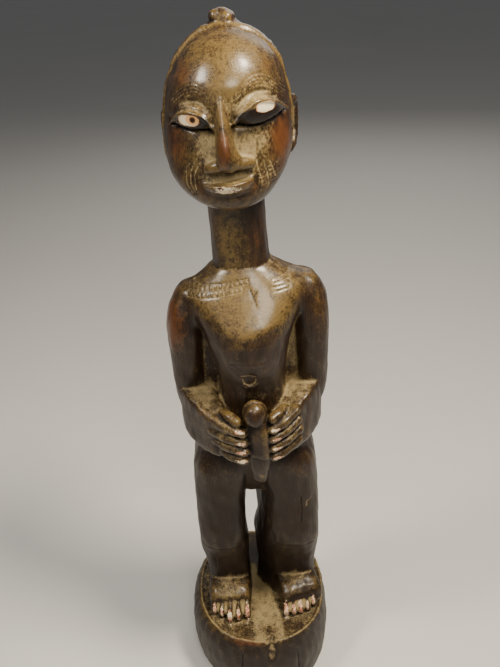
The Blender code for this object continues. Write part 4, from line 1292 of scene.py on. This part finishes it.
class Value:
    """A socket of a material that Python's operators add maths to."""

    def __init__(self, shader, socket):
        self.shader, self.socket = shader, socket

    def math(self, operation, *others):
        return self.shader.maths(operation, self, *others)

    def __add__(self, other):
        return self.math("ADD", other)

    def __sub__(self, other):
        return self.math("SUBTRACT", other)

    def __mul__(self, other):
        return self.math("MULTIPLY", other)

    def __truediv__(self, other):
        return self.math("DIVIDE", other)

    def __pow__(self, other):
        return self.math("POWER", other)

    def __rsub__(self, other):
        return self.shader.maths("SUBTRACT", other, self)

    __radd__ = __add__
    __rmul__ = __mul__

    def clamped(self):
        return self.shader.maths("ADD", self, 0.0, clamp=True)

    def stepped(self, low, high):
        """0 below low, 1 above high, smooth between."""
        node = self.shader.node(
            "ShaderNodeMapRange",
            {"interpolation_type": "SMOOTHSTEP"},
            {"Value": self, "From Min": low, "From Max": high},
        )
        return Value(self.shader, node.outputs["Result"])


class Shader:
    """A material's nodes, added one at a time."""

    def __init__(self, name):
        self.material = bpy.data.materials.new(name)
        self.material.use_nodes = True
        self.tree = self.material.node_tree
        self.surface = self.tree.nodes["Principled BSDF"]

    def node(self, kind, settings, inputs):
        made = self.tree.nodes.new(kind)
        for name, value in settings.items():
            setattr(made, name, value)
        for name, value in inputs.items():
            self.set(made.inputs[name], value)
        return made

    def set(self, socket, value):
        if isinstance(value, Value):
            self.tree.links.new(value.socket, socket)
        else:
            socket.default_value = value

    def maths(self, operation, *values, clamp=False):
        made = self.node("ShaderNodeMath", {"operation": operation, "use_clamp": clamp}, {})
        for socket, value in zip(made.inputs, values):
            self.set(socket, value)
        return Value(self, made.outputs[0])

    def vector(self, operation, first, second):
        made = self.node("ShaderNodeVectorMath", {"operation": operation}, {})
        self.set(made.inputs[0], first)
        self.set(made.inputs[1], second)
        return Value(self, made.outputs[0])

    def mix(self, share, first, second):
        """Two colours, mixed by share."""
        made = self.node("ShaderNodeMix", {"data_type": "RGBA"}, {})
        for socket, value in zip([made.inputs[i] for i in (0, 6, 7)], (share, first, second)):
            self.set(socket, (*value, 1.0) if isinstance(value, tuple) else value)
        return Value(self, made.outputs[2])

    def noise(self, place, stretch, detail=3.0, roughness=0.55, distortion=0.0):
        """Noise about 0.5, with places stretched by three numbers per millimetre."""
        inputs = {"Vector": self.vector("MULTIPLY", place, stretch), "Scale": 1.0}
        inputs.update({"Detail": detail, "Roughness": roughness, "Distortion": distortion})
        made = self.node("ShaderNodeTexNoise", {"noise_dimensions": "3D"}, inputs)
        return Value(self, made.outputs[0])

    def attribute(self, name):
        made = self.node("ShaderNodeAttribute", {"attribute_name": name}, {})
        return Value(self, made.outputs["Fac"])

    def carver_place(self):
        """Where a point is in the carver's frame, in millimetres."""
        coordinate = self.node("ShaderNodeTexCoord", {}, {})
        scaled = self.vector("MULTIPLY", Value(self, coordinate.outputs["Object"]), (1 / MM,) * 3)
        return self.vector("ADD", scaled, (BASE_CENTRE_X, BASE_CENTRE_Y, 0.0))

    def parts(self, place):
        made = self.node("ShaderNodeSeparateXYZ", {}, {"Vector": place})
        return [Value(self, made.outputs[i]) for i in range(3)]


def spot(x, z, middle, radii, squareness=2.0):
    """Above 0 inside an upright ellipse or rounded box on the front, 0 at its edge."""
    across = ((x - middle[0]) / radii[0]).math("ABSOLUTE")
    up = ((z - middle[1]) / radii[1]).math("ABSOLUTE")
    return 1 - (across**squareness + up**squareness) ** (1 / squareness)


def painted_eyes(shader, x, z, on_front, chipped, surface, painted):
    """Adds both eyes to the colour and to the painted places, and gives how far a place is dark eye."""
    dark_eyes = 0.0
    for marks in EYE_PAINT.values():
        ball = (spot(x, z, *marks["ball"]) + chipped * 0.12).stepped(0.0, 0.22) * on_front
        dark_eyes = ball.math("MAXIMUM", dark_eyes)
        surface = shader.mix(ball * 0.97, surface, EYE_DARK)
        middle, radii = marks["pale"]
        inside = spot(x, z, middle, radii, PATCH_SQUARENESS) + chipped * 0.22
        pale = inside.stepped(0.0, 0.12) * on_front
        surface = shader.mix(pale, surface, shader.mix(inside.stepped(0.0, 0.26), RUST_PAINT, PALE_PAINT))
        painted = painted.math("MAXIMUM", pale)
        if marks["pupil"]:
            middle, radius = marks["pupil"]
            halo = spot(x, z, middle, [radius * reach for reach in HALO_REACH]) + chipped * 0.25
            surface = shader.mix(halo.stepped(0.0, 0.4) * pale * 0.75, surface, HALO_ORANGE)
            ring = spot(x, z, middle, (radius, radius)) + chipped * 0.12
            surface = shader.mix(ring.stepped(PUPIL_RING, PUPIL_RING + 0.12) * pale, surface, RING_BROWN)
            surface = shader.mix(ring.stepped(PUPIL_CORE - 0.06, PUPIL_CORE + 0.08), surface, PUPIL)
    return surface, painted, dark_eyes


def wood_finish():
    """Oiled dark wood, worn to red-brown on its rises, with dust in its hollows and worn paint, painted sheen
    and light on lit faces, and painted shade in cuts and gaps.
    """
    shader = Shader("carved_wood")
    place = shader.carver_place()
    x, y, z = shader.parts(place)
    grain = shader.noise(place, *GRAIN)
    fibre = shader.noise(place, *FIBRE)
    blotch = shader.noise(place, *BLOTCH)
    speck = shader.noise(place, *SPECK)
    mottle = shader.noise(place, *MOTTLE)
    grit = shader.noise(place, *GRIT)
    ring_turn = (x * x + y * y) ** 0.5 * RING_TURN + grain * RING_WANDER
    rings = (ring_turn.math("SINE") + 1.0) * 0.5

    edge, dust_and_light, worn = shader.attribute("edge"), shader.attribute("dust_and_light"), shader.attribute("worn")
    cut, paint = shader.attribute("cut"), shader.attribute("paint")
    shade, film_and_sheen = shader.attribute("shade"), shader.attribute("film_and_sheen")

    dark_share = (grain * 0.9 + rings * 0.2 + blotch * 0.5).stepped(0.45, 1.15)
    # Darker towards the bottom
    browner_upward = ((z - BROWN_FROM_Z) / BROWN_SPAN).clamped() * (1 - BROWN_LEAST) + BROWN_LEAST
    wood = shader.mix(dark_share * browner_upward, DARK_WOOD, BROWN_WOOD)
    wood = shader.mix(fibre.stepped(0.52, 0.74) * 0.26, wood, STREAK_WOOD)
    worn_share = (worn * 1.1 + edge * 0.25 + (mottle - 0.5) * 1.3 + (speck - 0.5) * 0.8).stepped(0.25, 1.15)
    wood = shader.mix(worn_share * 0.85, wood, RED_WOOD)
    flecks = (speck - 0.5) * 2.2 + (grit - 0.5) * 1.0 + (mottle - 0.5) * 1.6 + (fibre - 0.5) * 0.5
    # Golden film and painted sheen
    film_and_sheen_share = (film_and_sheen + flecks * (film_and_sheen * 0.9 + 0.2)).stepped(0.1, 1.1)
    wood = shader.mix(film_and_sheen_share * (0.85 - worn_share * 0.55), wood, GOLD_FILM_AND_SHEEN)

    # Dust, with the painted light of the lit patches
    settled_dust_and_light = dust_and_light + (speck - 0.5) * 1.3 + (mottle - 0.5) * 0.8 + (grit - 0.5) * 0.7 - edge * 0.25
    dusty = settled_dust_and_light.stepped(0.35, 1.15) * 0.85
    in_cuts = (cut + (speck - 0.5) * 0.7).stepped(0.08, 0.7) * 0.8
    dust_and_light_share = (dusty + in_cuts).clamped()
    surface = shader.mix(dust_and_light_share, wood, DUST_AND_LIGHT_COLOUR)
    # Painted shade, near black, over the slits, cracks, folds, knee edges and finger gaps
    surface = shader.mix((shade * 1.2).clamped(), surface, PAINTED_SHADE)

    chipped = (speck - 0.5) * 1.1 + (mottle - 0.5) * 0.6 + (grit - 0.5) * 0.5
    painted = (paint + chipped * 1.3 - 0.08).stepped(0.05, 0.3)
    creamy = (mottle + (speck - 0.5) * 1.4 + (z - 300.0).stepped(0.0, 40.0) * 0.2).stepped(0.44, 0.66)
    nail = shader.mix(creamy, NAIL_PINK, PALE_PAINT)
    nail = shader.mix((0.5 - chipped * 1.4).stepped(0.52, 0.85), nail, NAIL_RUST)
    surface = shader.mix(painted * 0.92, surface, nail)

    on_front = (0 - y).stepped(*EYES_IN_FRONT)
    surface, painted, dark_eyes = painted_eyes(shader, x, z, on_front, chipped, surface, painted)

    polish = (film_and_sheen + worn * 0.6 + (z - POLISH_FROM_Z) / POLISH_SPAN).clamped()
    gloss = 0.42 - polish * 0.14 + grain * 0.16 + dust_and_light_share * 0.34 + shade * 0.5 - edge * 0.05
    height = grain * 0.12 + fibre * 0.10 + rings * 0.035 + speck * 0.09 + grit * 0.05
    height = height + painted * 0.06
    coat = (1 - (dust_and_light_share + shade).clamped()) * (0.10 + polish * 0.5) * (1 - dark_eyes * 0.6)
    bump = shader.node("ShaderNodeBump", {}, {"Strength": BUMP_STRENGTH, "Distance": MM, "Height": height})
    shader.set(shader.surface.inputs["Base Color"], surface)
    shader.set(shader.surface.inputs["Roughness"], gloss.clamped())
    shader.set(shader.surface.inputs["Coat Weight"], coat)
    shader.set(shader.surface.inputs["Coat Roughness"], COAT_ROUGHNESS)
    shader.set(shader.surface.inputs["Specular IOR Level"], WOOD_SPECULAR)
    shader.set(shader.surface.inputs["Normal"], Value(shader, bump.outputs["Normal"]))
    return shader.material


def floor_finish():
    shader = Shader("pale_floor")
    place = shader.carver_place()
    cloud = shader.noise(place, (0.002, 0.002, 0.002), 2.0)
    shader.set(shader.surface.inputs["Base Color"], shader.mix(cloud, (0.70, 0.69, 0.67), (0.76, 0.75, 0.73)))
    shader.set(shader.surface.inputs["Roughness"], 0.8)
    return shader.material


def build_figure(low, high):
    """The finished figure in the row frame, kept inside the source's own box."""
    mesh = carved_mesh()
    mark_surface(mesh)
    points, _ = arrays_of(mesh)
    points = place_on_base(points) * MM
    write_points(mesh, np.clip(points, low, high))
    mesh.materials.clear()
    mesh.materials.append(wood_finish())
    mesh.shade_smooth()
    mesh.name = "carved_figure"
    figure = bpy.data.objects.new("carved_figure", mesh)
    bpy.context.scene.collection.objects.link(figure)
    return figure


def add_light(name, place, target, size, power, colour):
    """A round soft lamp."""
    lamp = bpy.data.lights.new(name, "AREA")
    lamp.shape = "DISK"
    lamp.size, lamp.energy, lamp.color = size, power, colour
    light = bpy.data.objects.new(name, lamp)
    away = Matrix.Translation(place).to_translation() - Matrix.Translation(target).to_translation()
    light.rotation_euler = away.to_track_quat("Z", "Y").to_euler()
    light.location = place
    bpy.context.scene.collection.objects.link(light)


def build_stage():
    """Pale floor, soft lights and the camera where the photograph was taken."""
    mesh = bpy.data.meshes.new("floor")
    corners = [(-1, -1), (1, -1), (1, 1), (-1, 1)]
    mesh.from_pydata([(FLOOR_HALF * x, FLOOR_HALF * y, 0) for x, y in corners], [], [(0, 1, 2, 3)])
    mesh.materials.append(floor_finish())
    floor = bpy.data.objects.new("floor", mesh)
    bpy.context.scene.collection.objects.link(floor)
    for lamp in LAMPS:
        add_light(*lamp)
    world = bpy.data.worlds.new("room")
    world.use_nodes = True
    world.node_tree.nodes["Background"].inputs["Color"].default_value = ROOM_COLOUR
    world.node_tree.nodes["Background"].inputs["Strength"].default_value = ROOM_LIGHT
    bpy.context.scene.world = world
    lens = bpy.data.cameras.new("camera")
    lens.sensor_width = SENSOR
    lens.lens = SENSOR * FOCAL_PIXELS / FRAME_LONG_SIDE
    lens.clip_start = 0.01
    camera = bpy.data.objects.new("camera", lens)
    tilt = Matrix.Rotation(np.radians(90 - CAMERA_DOWN_DEG), 4, "X")
    roll = Matrix.Rotation(np.radians(CAMERA_ROLL_DEG), 4, "Z")
    camera.matrix_world = Matrix.Translation(CAMERA_PLACE) @ tilt @ roll
    bpy.context.scene.collection.objects.link(camera)
    bpy.context.scene.camera = camera


def as_numbers(box):
    return [[float(v) for v in corner] for corner in box]


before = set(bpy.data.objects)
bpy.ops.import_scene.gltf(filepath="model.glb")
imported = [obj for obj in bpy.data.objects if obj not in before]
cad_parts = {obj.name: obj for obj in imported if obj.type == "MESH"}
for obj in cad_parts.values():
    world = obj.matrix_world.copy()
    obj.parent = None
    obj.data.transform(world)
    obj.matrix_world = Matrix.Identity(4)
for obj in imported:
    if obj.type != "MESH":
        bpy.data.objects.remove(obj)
source_box = as_numbers(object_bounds())
figure = build_figure(*source_box)
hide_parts("figure")
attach(figure, "root")
build_stage()
